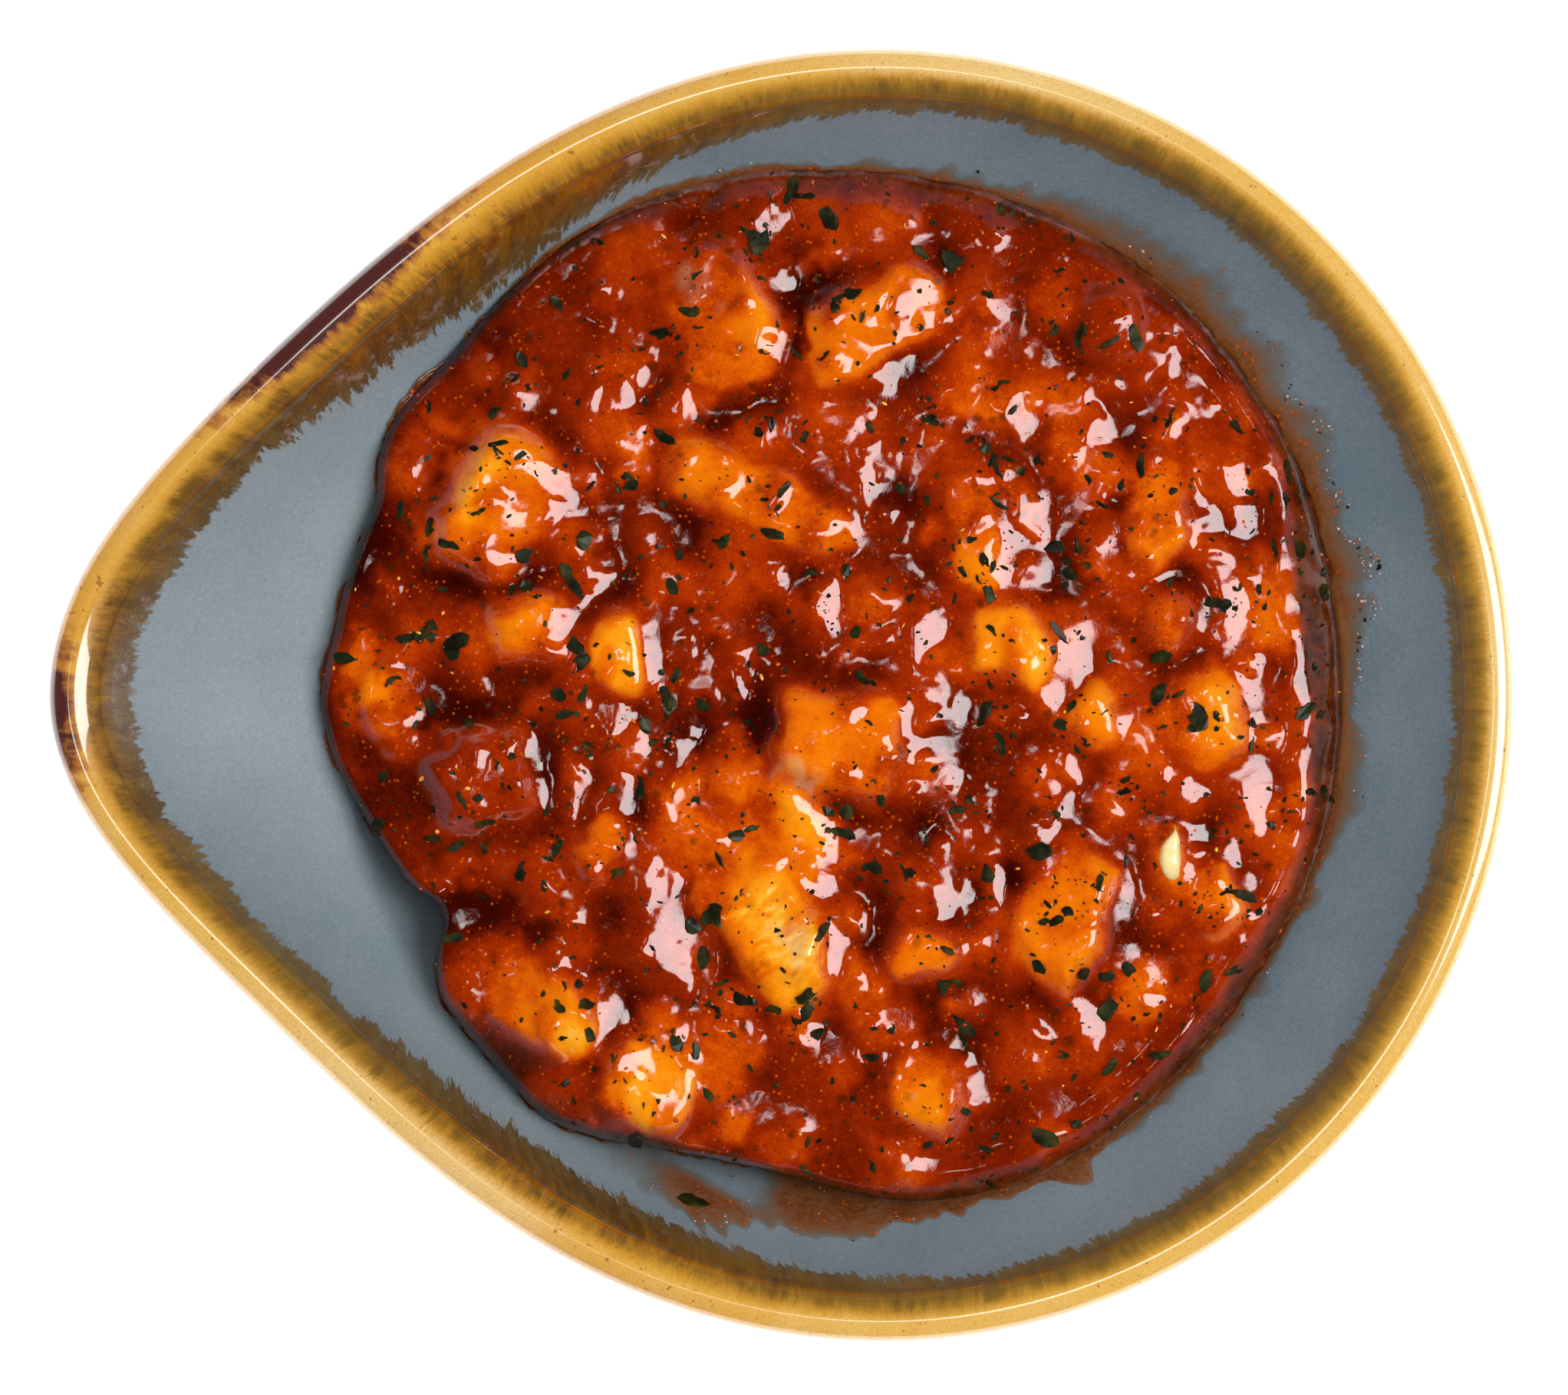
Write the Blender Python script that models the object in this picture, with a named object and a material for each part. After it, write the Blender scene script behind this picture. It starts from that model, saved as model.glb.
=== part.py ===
"""A tear-shaped stoneware dip bowl filled with chopped onion in a thick spiced sauce.

The bowl is one glazed piece: a round well drawn out to a blunt tip, a rolled lip and a
foot ring. The sauce fills the well to about a centimetre below the lip, and the pieces
of onion that show on top lie half sunk in it, each in its own pocket.

Frame: metres, +Z up, the origin under the middle of the outline on the surface that the
foot ring stands on. The tip points along -X.
"""

import math

import bmesh
import bpy
from mathutils import Euler, Matrix, Vector

# The outline of the lip, seen from above.
ROUND_RADIUS = 0.0480    # the round end, to the lip's outer edge
OVAL = 0.0007            # how much the round end is wider across than along
TIP_REACH = 0.0160       # how far the tip stands out past the round end's circle
TIP_SPREAD_BACK = 0.300  # half angle of the tip in radians, on its softer +Y flank
TIP_SPREAD_FRONT = 0.266
TIP_NARROWING = 12.5     # share of the spread lost for each metre that a contour lies inside the lip's edge

# The section of the bowl.
HEIGHT = 0.0320
LIP_WIDTH = 0.0038
LIP_RISE = 0.0022        # from the top of the wall to the crest of the lip
LIP_LEAN = 1.4           # over 1, the crest of the lip lies nearer its outer edge
FLOOR_HEIGHT = 0.0052
WALL = LIP_WIDTH
BASE_THICKENING = 0.0040 # what the wall would gain from its top to the middle of the floor
WELL_SHIFT = 0.0040      # the well's centre is this much nearer the tip than the round end's
TIP_DEPTH = 0.40         # share of the depth at which the slope of the tip has run out into the well
WALL_STEEPNESS = 1.15
WALL_FULLNESS = 3.2
OUTSIDE_SHARE = 0.60     # how far out in the well the outside meets the foot ring

# The foot ring.
FOOT_RADIUS = 0.0268
FOOT_WIDTH = 0.0036
FOOT_TOP_RADIUS = 0.0276
FOOT_TOP = 0.0040
FOOT_ROUNDING = 0.0005
RECESS_HEIGHT = 0.0013

# The sauce.
GAP = 0.0003             # between touching pieces
POOL_RADIUS = 0.0393
POOL_LEVEL = 0.0221
MOUND_RISE = 0.0015
EDGE_ROLL = 14           # how sharply the sauce rolls down to the wall
NOTCH_TURN = math.radians(210)
NOTCH_SPREAD = math.radians(4.5)
NOTCH_DEPTH = 0.0036
SLUMP_TURN = math.radians(258)
SLUMP_SPREAD = math.radians(13)
SLUMP_DEPTH = 0.0020
ONION_SWELL = 0.0007     # how high the sauce stands up round a piece of onion

# How finely the solids are faceted.
AROUND = 64
TIP_CROWDING = 0.36      # how much the facets crowd towards the tip
WELL_RINGS = 10
LIP_RINGS = 6
OUTER_RINGS = 6
SAUCE_AROUND = 44
SAUCE_UNDER_RINGS = 5
SAUCE_TOP_RINGS = 8
ONION_AROUND = 10
ONION_RINGS = 5

WALL_TOP = HEIGHT - LIP_RISE
DEPTH = WALL_TOP - FLOOR_HEIGHT
ROUND_CENTRE = TIP_REACH / 2
WELL_CENTRE = ROUND_CENTRE - WELL_SHIFT

# The pieces of onion that show. Each row, in millimetres: the place x, y of its middle, how far
# its crown stands over the sauce, its length, width and height; then, in degrees, its heading,
# pitch and roll; then the arch of its back in millimetres, how much narrower its far end is,
# and how square its edges are.
ONIONS = {
    "onion_wedge_left": (-21.2, 14.8, 1.8, 12.4, 9.0, 5.6, 66, 0, 22, 0.3, 0.20, 0.8),
    "onion_chip_upper_left": (-28.0, 18.0, 0.9, 5.4, 4.6, 3.4, 60, 0, 0, 0.2, 0.2, 0.4),
    "onion_dome_left": (-19.0, 5.0, 1.5, 7.4, 6.4, 4.8, 10, 0, 0, 0.5, 0.1, 0.2),
    "onion_wedge_yellow": (-12.4, 3.8, 1.5, 7.4, 4.6, 4.2, 80, 0, -14, 0.2, 0.35, 0.6),
    "onion_flat_edge": (-29.9, -0.2, 0.9, 7.8, 5.2, 3.0, 96, 0, 0, 0.3, 0.1, 0.5),
    "onion_dome_large_left": (-23.0, -6.2, 1.6, 9.8, 8.6, 5.6, 15, 0, 0, 0.8, 0.0, 0.2),
    "onion_leaf_top": (-4.8, 28.6, 1.3, 13.6, 9.4, 4.4, 118, 0, -8, 0.6, 0.25, 0.4),
    "onion_finger_top": (7.2, 28.6, 1.7, 13.8, 7.4, 5.0, 28, 0, -10, 0.4, 0.15, 0.6),
    "onion_slice_upper": (-1.6, 14.9, 1.3, 17.6, 5.8, 4.2, -24, 0, 14, 0.9, 0.15, 0.6),
    "onion_stick_right": (14.6, 12.6, 1.3, 9.8, 4.8, 4.0, 100, 0, -8, 0.3, 0.1, 0.5),
    "onion_block_right": (17.6, 3.8, 1.5, 8.2, 6.2, 4.4, -24, 0, 0, 0.3, 0.1, 0.6),
    "onion_block_centre": (4.6, -3.4, 2.2, 10.0, 8.4, 6.0, -18, 0, -12, 0.3, 0.1, 0.8),
    "onion_slice_long": (-2.1, -15.8, 1.9, 19.4, 8.2, 5.2, -61, 0, 10, 0.9, 0.05, 0.5),
    "onion_wedge_small": (10.8, -19.8, 1.5, 5.2, 4.4, 3.8, -35, 0, 0, 0.1, 0.3, 0.8),
    "onion_arc_lower_right": (21.6, -17.0, 1.7, 12.0, 7.8, 4.8, 68, 0, -14, 0.8, 0.1, 0.5),
    "onion_sliver_white": (30.0, -12.0, 1.6, 5.0, 2.2, 3.4, 97, 0, 0, 0.1, 0.3, 0.2),
    "onion_ridge_right": (33.2, -15.8, 1.3, 6.2, 4.2, 4.0, 106, 0, 12, 0.2, 0.2, 0.7),
    "onion_dome_right": (32.2, -2.0, 1.4, 8.6, 8.2, 4.8, 50, 0, 0, 0.6, 0.0, 0.2),
    "onion_dome_small_right": (23.9, -1.8, 1.2, 5.8, 4.6, 3.8, 75, 0, 0, 0.3, 0.1, 0.3),
    "onion_curl_right": (28.8, 13.8, 1.4, 11.4, 5.0, 4.0, 82, 0, -10, 0.8, 0.35, 0.5),
    "onion_chip_right": (29.6, 5.8, 1.2, 4.6, 4.2, 3.4, 40, 0, 0, 0.2, 0.3, 0.6),
    "onion_dome_top_right": (25.3, 28.3, 1.3, 6.2, 6.2, 3.2, 0, 0, 0, 0.4, 0.0, 0.1),
    "onion_edge_lower_left": (-19.2, -23.1, 1.7, 13.2, 6.0, 4.4, -40, 0, 8, 0.6, 0.1, 0.5),
    "onion_chunk_lower": (-10.2, -29.7, 1.7, 8.4, 7.0, 4.6, -14, 0, 8, 0.4, 0.0, 0.6),
    "onion_chip_left": (-13.8, -11.6, 1.2, 6.2, 4.0, 3.6, 60, 0, 0, 0.3, 0.2, 0.4),
    "onion_block_bottom": (11.2, -30.4, 1.2, 6.8, 5.6, 4.0, -50, 0, 0, 0.3, 0.1, 0.5),
}


def material(name, colour, roughness):
    """A Principled material in one linear colour."""
    made = bpy.data.materials.new(name)
    made.use_nodes = True
    shader = made.node_tree.nodes["Principled BSDF"]
    shader.inputs["Base Color"].default_value = (*colour, 1.0)
    shader.inputs["Roughness"].default_value = roughness
    shader.inputs["Metallic"].default_value = 0.0
    return made


def loft(name, first, rings, last):
    """A closed mesh from one pole, through rings of equal count, to the other pole."""
    mesh = bmesh.new()
    start = mesh.verts.new(first)
    loops = [[mesh.verts.new(point) for point in ring] for ring in rings]
    end = mesh.verts.new(last)
    count = len(loops[0])
    for k in range(count):
        following = (k + 1) % count
        mesh.faces.new((start, loops[0][following], loops[0][k]))
        for lower, upper in zip(loops, loops[1:]):
            mesh.faces.new((lower[k], lower[following], upper[following], upper[k]))
        mesh.faces.new((end, loops[-1][k], loops[-1][following]))
    bmesh.ops.recalc_face_normals(mesh, faces=mesh.faces)
    data = bpy.data.meshes.new(name)
    mesh.to_mesh(data)
    mesh.free()
    return data


def placed(name, data, finish, sharp_angle):
    """An object of this mesh and material, shaded smooth up to the given angle."""
    data.materials.append(finish)
    data.shade_smooth()
    data.set_sharp_from_angle(angle=math.radians(sharp_angle))
    made = bpy.data.objects.new(name, data)
    bpy.context.scene.collection.objects.link(made)
    return made


def eased(share):
    """0 to 1 with level ends, clamped outside them."""
    share = min(max(share, 0.0), 1.0)
    return share * share * (3 - 2 * share)


def turns(count):
    """Angles once round, closest together at the tip."""
    steps = (2 * math.pi * k / count for k in range(count))
    return [math.pi + step - TIP_CROWDING * math.sin(step) for step in steps]


def outline_radius(turn, inset, reach, widening):
    """Distance from a contour's centre to the contour, inset from the lip's outer edge."""
    from_tip = math.remainder(turn - math.pi, 2 * math.pi)
    spread = TIP_SPREAD_BACK if from_tip < 0 else TIP_SPREAD_FRONT
    spread *= (1 - TIP_NARROWING * inset) * widening
    oval = -OVAL * math.cos(2 * turn)
    return ROUND_RADIUS - inset + oval + reach / math.cosh(from_tip / spread)


def lip_point(turn, inset, height):
    """A point on the lip, where every contour keeps the whole of the tip."""
    radius = outline_radius(turn, inset, TIP_REACH, 1)
    return Vector((ROUND_CENTRE + radius * math.cos(turn), radius * math.sin(turn), height))


def well_point(turn, share):
    """A point inside the bowl: share is 0 at the middle of the floor and 1 at the top of the wall."""
    depth = (1 - share**WALL_FULLNESS) ** (1 / WALL_STEEPNESS)
    run_out = min(depth / TIP_DEPTH, 1.0)
    reach = TIP_REACH * (1 - run_out**1.3) ** 1.2
    top = outline_radius(turn, LIP_WIDTH, 0, 1)
    bell = outline_radius(turn, LIP_WIDTH, reach, 1 + 0.3 * run_out) - top
    radius = share * top + bell
    centre = ROUND_CENTRE - WELL_SHIFT * eased(run_out)
    return Vector((centre + radius * math.cos(turn), radius * math.sin(turn), WALL_TOP - DEPTH * depth))


def well_normal(turn, share):
    """The unit normal of the inside of the bowl, pointing into the well."""
    step = 0.002
    across = well_point(turn + step, share) - well_point(turn - step, share)
    low = max(share - step, step)
    high = min(share + step, 1.0)
    along = well_point(turn, high) - well_point(turn, low)
    return along.cross(across).normalized()


def foot_ring(radius, height):
    """A level circle of points under the well."""
    return [
        Vector((WELL_CENTRE + radius * math.cos(turn), radius * math.sin(turn), height))
        for turn in turns(AROUND)
    ]


def bowl_rings():
    """The contours of the bowl, from the floor up the well, over the lip and down to the foot."""
    rings = []
    for k in range(1, WELL_RINGS + 1):
        share = math.sin(math.pi / 2 * k / WELL_RINGS)
        rings.append([well_point(turn, share) for turn in turns(AROUND)])
    for k in range(1, LIP_RINGS + 1):
        bend = math.pi * k / LIP_RINGS
        inset = LIP_WIDTH * ((1 + math.cos(bend)) / 2) ** LIP_LEAN
        height = WALL_TOP + LIP_RISE * math.sin(bend)
        rings.append([lip_point(turn, inset, height) for turn in turns(AROUND)])
    for k in range(OUTER_RINGS):
        share = 1 - (1 - OUTSIDE_SHARE) * k / (OUTER_RINGS - 1)
        wall = WALL + BASE_THICKENING * (1 - share)
        rings.append([well_point(turn, share) - wall * well_normal(turn, share) for turn in turns(AROUND)])
    return rings


def foot_rings():
    """The foot ring's section: down its outer side, across its flat face and up into the recess."""
    inner = FOOT_RADIUS - FOOT_WIDTH
    return [
        foot_ring(FOOT_TOP_RADIUS, FOOT_TOP),
        foot_ring(FOOT_RADIUS, FOOT_ROUNDING),
        foot_ring(FOOT_RADIUS - FOOT_ROUNDING, 0),
        foot_ring(inner + FOOT_ROUNDING, 0),
        foot_ring(inner, RECESS_HEIGHT),
    ]


def make_bowl():
    """The whole glazed bowl, one solid from floor to foot."""
    floor = Vector((WELL_CENTRE, 0, FLOOR_HEIGHT))
    recess = Vector((WELL_CENTRE, 0, RECESS_HEIGHT))
    data = loft("bowl", floor, bowl_rings() + foot_rings(), recess)
    return placed("bowl", data, material("slate_blue_glaze", (0.19, 0.23, 0.26), 0.25), 40)


def pool_radius(turn):
    """The sauce's edge round the well's centre: nearly a circle, a little uneven, with two dents."""
    waver = 0.0005 * math.sin(2 * turn - 0.4) + 0.0004 * math.sin(3 * turn + 0.9) + 0.0003 * math.sin(7 * turn)
    off_notch = math.remainder(turn - NOTCH_TURN, 2 * math.pi) / NOTCH_SPREAD
    off_slump = math.remainder(turn - SLUMP_TURN, 2 * math.pi) / SLUMP_SPREAD
    dents = NOTCH_DEPTH * math.exp(-off_notch * off_notch) + SLUMP_DEPTH * math.exp(-off_slump * off_slump)
    return POOL_RADIUS + waver - dents


def edge_share(turn):
    """How far out in the well, from floor to wall top, the sauce's edge lies at this angle."""
    low, high = 0.5, 1.0
    centre = Vector((WELL_CENTRE, 0))
    for _ in range(24):
        middle = (low + high) / 2
        if (well_point(turn, middle).xy - centre).length < pool_radius(turn):
            low = middle
        else:
            high = middle
    return low


def sauce_height(x, y):
    """The top of the sauce: a low mound that stands up round the onion and rolls down at its edge."""
    turn = math.atan2(y, x - WELL_CENTRE)
    share = min(math.hypot(x - WELL_CENTRE, y) / pool_radius(turn), 1.0)
    swell = 0.0
    for row in ONIONS.values():
        away = math.hypot(x - row[0] / 1000, y - row[1] / 1000) / (0.6 * row[3] / 1000)
        swell = max(swell, ONION_SWELL * math.exp(-away * away))
    ripple = 0.0003 * math.sin(x / 0.0037 + 1) * math.sin(y / 0.0043)
    mound = POOL_LEVEL + MOUND_RISE * (1 - share * share) + swell + ripple
    wall = well_point(turn, edge_share(turn)).z
    return mound + (wall - mound) * share**EDGE_ROLL


def sauce_rings():
    """The sauce's contours, up the inside of the bowl and back over the top."""
    around = turns(SAUCE_AROUND)
    under, top = [], []
    for k in range(1, SAUCE_UNDER_RINGS + 1):
        out = math.sin(math.pi / 2 * k / SAUCE_UNDER_RINGS)
        shares = [out * edge_share(turn) for turn in around]
        under.append([well_point(t, s) + GAP * well_normal(t, s) for t, s in zip(around, shares)])
    for k in range(1, SAUCE_TOP_RINGS):
        out = 1 - (k / SAUCE_TOP_RINGS) ** 1.35
        ring = []
        for edge in under[-1]:
            x = WELL_CENTRE + (edge.x - WELL_CENTRE) * out
            ring.append(Vector((x, edge.y * out, sauce_height(x, edge.y * out))))
        top.append(ring)
    return under + top


def onion_mesh(name, row, margin):
    """A piece of onion layer: a rounded block, arched along its back and narrower at one end."""
    x, y, stand, length, width, height = (value / 1000 for value in row[:6])
    heading, pitch, roll = (math.radians(value) for value in row[6:9])
    arch, taper, square = row[9] / 1000, row[10], row[11]
    power = 1 - 0.62 * square
    half = Vector((length / 2 + margin, width / 2 + margin, height / 2 + margin))

    def eased_wave(wave):
        return math.copysign(abs(wave) ** power, wave)

    turned = Euler((roll, pitch, heading)).to_matrix().to_4x4()
    middle = sauce_height(x, y) + stand - (height + arch) / 2
    place = Matrix.Translation((x, y, middle)) @ turned

    def point(turn, rise):
        out = eased_wave(math.cos(rise))
        along = out * eased_wave(math.cos(turn))
        side = out * eased_wave(math.sin(turn)) * (1 - taper * (1 + along) / 2)
        up = half.z * eased_wave(math.sin(rise)) + arch * (0.5 - along * along)
        return place @ Vector((half.x * along, half.y * side, up))

    rings = []
    for k in range(1, ONION_RINGS + 1):
        rise = math.pi * (k / (ONION_RINGS + 1) - 0.5)
        rings.append([point(2 * math.pi * j / ONION_AROUND, rise) for j in range(ONION_AROUND)])
    return loft(name, point(0, -math.pi / 2), rings, point(0, math.pi / 2))


def make_onions():
    """Every piece of onion as its own object."""
    flesh = material("cooked_onion", (0.60, 0.22, 0.02), 0.2)
    return [placed(name, onion_mesh(name, row, 0), flesh, 50) for name, row in ONIONS.items()]


def make_pockets():
    """Cutters a gap larger than the pieces of onion, in a collection of their own."""
    pockets = bpy.data.collections.new("pockets")
    bpy.context.scene.collection.children.link(pockets)
    for name, row in ONIONS.items():
        cutter = bpy.data.objects.new("pocket_" + name, onion_mesh("pocket_" + name, row, GAP))
        cutter.hide_render = True
        cutter.display_type = "WIRE"
        pockets.objects.link(cutter)
    return pockets


def make_sauce():
    """The sauce, filled down to the floor of the bowl, with a pocket for each piece of onion."""
    bottom = Vector((WELL_CENTRE, 0, FLOOR_HEIGHT + GAP))
    top = Vector((WELL_CENTRE, 0, sauce_height(WELL_CENTRE, 0)))
    data = loft("sauce", bottom, sauce_rings(), top)
    sauce = placed("sauce", data, material("spiced_sauce", (0.38, 0.035, 0.006), 0.15), 60)
    cut = sauce.modifiers.new("onion pockets", "BOOLEAN")
    cut.operation = "DIFFERENCE"
    cut.solver = "EXACT"
    cut.operand_type = "COLLECTION"
    cut.collection = make_pockets()
    return sauce


def main():
    for old in list(bpy.data.objects):
        bpy.data.objects.remove(old, do_unlink=True)
    make_bowl()
    make_sauce()
    make_onions()


main()
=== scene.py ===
"""A tear-shaped stoneware dip bowl of chopped onion in a thick, glossy spiced sauce.

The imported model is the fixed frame. Every piece below stands where its solid stands.
Lengths in the mesh sections are millimetres until a mesh is made, which is in metres.
"""

import math

import bmesh
import bpy
import numpy as np
from mathutils import Matrix, Vector
from mathutils.bvhtree import BVHTree


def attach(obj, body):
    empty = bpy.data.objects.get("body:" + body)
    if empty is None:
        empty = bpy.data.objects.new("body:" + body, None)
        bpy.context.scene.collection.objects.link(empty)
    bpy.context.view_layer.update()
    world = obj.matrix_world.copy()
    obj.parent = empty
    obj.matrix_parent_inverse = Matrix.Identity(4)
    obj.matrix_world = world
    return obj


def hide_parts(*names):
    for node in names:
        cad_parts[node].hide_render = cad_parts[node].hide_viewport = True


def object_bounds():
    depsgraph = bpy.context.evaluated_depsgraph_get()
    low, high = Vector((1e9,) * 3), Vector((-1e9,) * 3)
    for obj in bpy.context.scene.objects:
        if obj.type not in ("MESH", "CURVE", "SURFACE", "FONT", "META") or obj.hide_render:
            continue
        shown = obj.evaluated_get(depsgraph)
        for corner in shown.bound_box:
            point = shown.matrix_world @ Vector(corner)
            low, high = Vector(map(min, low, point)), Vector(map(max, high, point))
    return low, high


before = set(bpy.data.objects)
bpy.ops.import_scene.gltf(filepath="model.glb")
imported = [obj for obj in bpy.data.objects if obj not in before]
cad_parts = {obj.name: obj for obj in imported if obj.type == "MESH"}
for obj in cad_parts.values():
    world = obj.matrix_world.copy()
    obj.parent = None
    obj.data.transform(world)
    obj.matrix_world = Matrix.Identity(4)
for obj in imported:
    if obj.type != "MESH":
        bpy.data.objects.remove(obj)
cad_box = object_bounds()


# ---------------------------------------------------------------------------------------
# The table, the camera and the light. A pale matt table; the camera looks straight down;
# one large soft window of light stands at the right, with weak light from low all round.
# ---------------------------------------------------------------------------------------

MM = 0.001
VIEW_WIDTH = 118.15 * MM        # what the camera takes in across, level with the lip
VIEW_CENTRE = (0.2 * MM, -0.14 * MM)
CAMERA_RISE = 620 * MM          # over the lip
WINDOW_SIDES = (0.29, 0.56)     # towards the bowl and along it
WINDOW_AWAY = 0.70
WINDOW_TILT = math.radians(43)  # from straight up, towards +X
WINDOW_POWER = 3.1
CEILING_SIDE = 0.10
CEILING_AWAY = 0.90
CEILING_POWER = 0.15
ROOM_LIGHT = 0.88               # light from all round, which nothing glossy mirrors
ROOM_SLANT = 0.45               # how much more of it comes from the left than from the right
TABLE_HALF = 1.5
TABLE_GAP = 0.0001              # below the foot ring
lip_height = cad_box[1].z


def make_table():
    mesh = bpy.data.meshes.new("table")
    corners = [(x * TABLE_HALF, y * TABLE_HALF, 0) for x, y in ((-1, -1), (1, -1), (1, 1), (-1, 1))]
    mesh.from_pydata(corners, [], [(0, 1, 2, 3)])
    table = bpy.data.objects.new("table", mesh)
    bpy.context.scene.collection.objects.link(table)
    table.location.z = -TABLE_GAP
    white = bpy.data.materials.new("pale_table")
    white.use_nodes = True
    shader = white.node_tree.nodes["Principled BSDF"]
    shader.inputs["Base Color"].default_value = (0.84, 0.84, 0.84, 1)
    shader.inputs["Emission Color"].default_value = (1, 1, 1, 1)
    shader.inputs["Emission Strength"].default_value = 0.42
    shader.inputs["Roughness"].default_value = 0.9
    shader.inputs["Specular IOR Level"].default_value = 0.2
    mesh.materials.append(white)


def make_camera():
    data = bpy.data.cameras.new("camera")
    data.sensor_width = 36
    data.lens = data.sensor_width * CAMERA_RISE / VIEW_WIDTH
    data.clip_start = 0.01
    camera = bpy.data.objects.new("camera", data)
    camera.location = (*VIEW_CENTRE, lip_height + CAMERA_RISE)
    bpy.context.scene.collection.objects.link(camera)
    bpy.context.scene.camera = camera


def make_lamp(name, toward, away, sides, power):
    """A rectangular area light that faces the bowl from the given direction."""
    data = bpy.data.lights.new(name, "AREA")
    data.shape = "RECTANGLE"
    data.size, data.size_y = sides
    data.energy = power
    lamp = bpy.data.objects.new(name, data)
    lamp.location = toward.normalized() * away
    lamp.rotation_euler = toward.to_track_quat("Z", "Y").to_euler()
    bpy.context.scene.collection.objects.link(lamp)


def make_room():
    """Even light that reaches every matt surface; a glossy one mirrors only a dim band low down."""
    world = bpy.data.worlds.new("room")
    bpy.context.scene.world = world
    world.use_nodes = True
    nodes, links = world.node_tree.nodes, world.node_tree.links
    direction = nodes.new("ShaderNodeTexCoord")
    parts = nodes.new("ShaderNodeSeparateXYZ")
    links.new(direction.outputs["Generated"], parts.inputs[0])
    ramp = nodes.new("ShaderNodeValToRGB")
    ramp.color_ramp.elements[0].color = (0.04, 0.04, 0.04, 1)
    ramp.color_ramp.elements[1].color = (0.0, 0.0, 0.0, 1)
    ramp.color_ramp.elements[1].position = 0.6
    links.new(parts.outputs["Z"], ramp.inputs[0])
    path = nodes.new("ShaderNodeLightPath")
    pick = nodes.new("ShaderNodeMix")
    pick.data_type = "RGBA"
    slant = nodes.new("ShaderNodeMapRange")
    slant.inputs["From Min"].default_value = -1
    slant.inputs["To Min"].default_value = ROOM_LIGHT + ROOM_SLANT
    slant.inputs["To Max"].default_value = ROOM_LIGHT - ROOM_SLANT
    links.new(parts.outputs["X"], slant.inputs["Value"])
    links.new(slant.outputs[0], pick.inputs[6])
    links.new(path.outputs["Is Glossy Ray"], pick.inputs[0])
    links.new(ramp.outputs[0], pick.inputs[7])
    links.new(pick.outputs[2], nodes["Background"].inputs["Color"])


make_table()
make_camera()
toward_window = Vector((math.sin(WINDOW_TILT), 0, math.cos(WINDOW_TILT)))
make_lamp("window", toward_window, WINDOW_AWAY, WINDOW_SIDES, WINDOW_POWER)
make_lamp("ceiling", Vector((-0.03, 0.06, 1)), CEILING_AWAY, (CEILING_SIDE, CEILING_SIDE), CEILING_POWER)
make_room()
bpy.context.scene.view_settings.view_transform = "Standard"


# ---------------------------------------------------------------------------------------
# The bowl: one thrown and pressed stoneware dish with a rolled lip and a foot ring. Its
# glaze is slate blue, and breaks to cream, amber and rust brown where it thins on the lip.
# ---------------------------------------------------------------------------------------

ROUND_RADIUS = 48.0
OVAL = 0.7
TIP_REACH = 16.0
TIP_SPREAD_BACK = 0.300
TIP_SPREAD_FRONT = 0.266
TIP_NARROWING = 0.0125
LIP_WIDTH = 3.8
LIP_RISE = 2.2
LIP_LEAN = 1.4
WALL_TOP = lip_height / MM - LIP_RISE
FLOOR_HEIGHT = 5.2
BASE_THICKENING = 4.0
WELL_SHIFT = 4.0
TIP_DEPTH = 0.40
WALL_STEEPNESS = 1.15
WALL_FULLNESS = 3.2
OUTSIDE_SHARE = 0.60
FOOT_RADIUS = 26.8
FOOT_WIDTH = 3.6
FOOT_TOP_RADIUS = 27.6
FOOT_TOP = 4.0
FOOT_ROUNDING = 0.5
RECESS_HEIGHT = 1.3
ROUND_CENTRE = TIP_REACH / 2
WELL_CENTRE = ROUND_CENTRE - WELL_SHIFT
BOWL_AROUND = 440
WELL_RINGS = 90
LIP_RINGS = 28
OUTSIDE_RINGS = 32
TIP_CROWDING = 0.3             # how much the points crowd towards the tip
GLAZE_BREAK = 2.9              # level distance from the crest of the lip to where slate blue begins


def eased(share):
    """The share, from 0 to 1, with a level start and end."""
    share = np.clip(share, 0.0, 1.0)
    return share * share * (3 - 2 * share)


def bell(value, middle, spread, power=2):
    """1 at the middle, falling to 0 a few spreads away on either side."""
    return np.exp(-(((value - middle) / spread) ** power))


def from_tip(turn):
    """The angle from the middle of the tip, between -pi and pi."""
    return np.mod(turn, 2 * np.pi) - np.pi


def outline_radius(turn, inset, reach, widening):
    """Distance from a contour's centre to the contour, inset from the lip's outer edge."""
    off = from_tip(turn)
    spread = np.where(off < 0, TIP_SPREAD_BACK, TIP_SPREAD_FRONT) * (1 - TIP_NARROWING * inset) * widening
    return ROUND_RADIUS - inset - OVAL * np.cos(2 * turn) + reach / np.cosh(off / spread)


def lip_point(turn, inset, height):
    radius = outline_radius(turn, inset, TIP_REACH, 1)
    return np.stack([ROUND_CENTRE + radius * np.cos(turn), radius * np.sin(turn), height + 0 * turn], -1)


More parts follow.
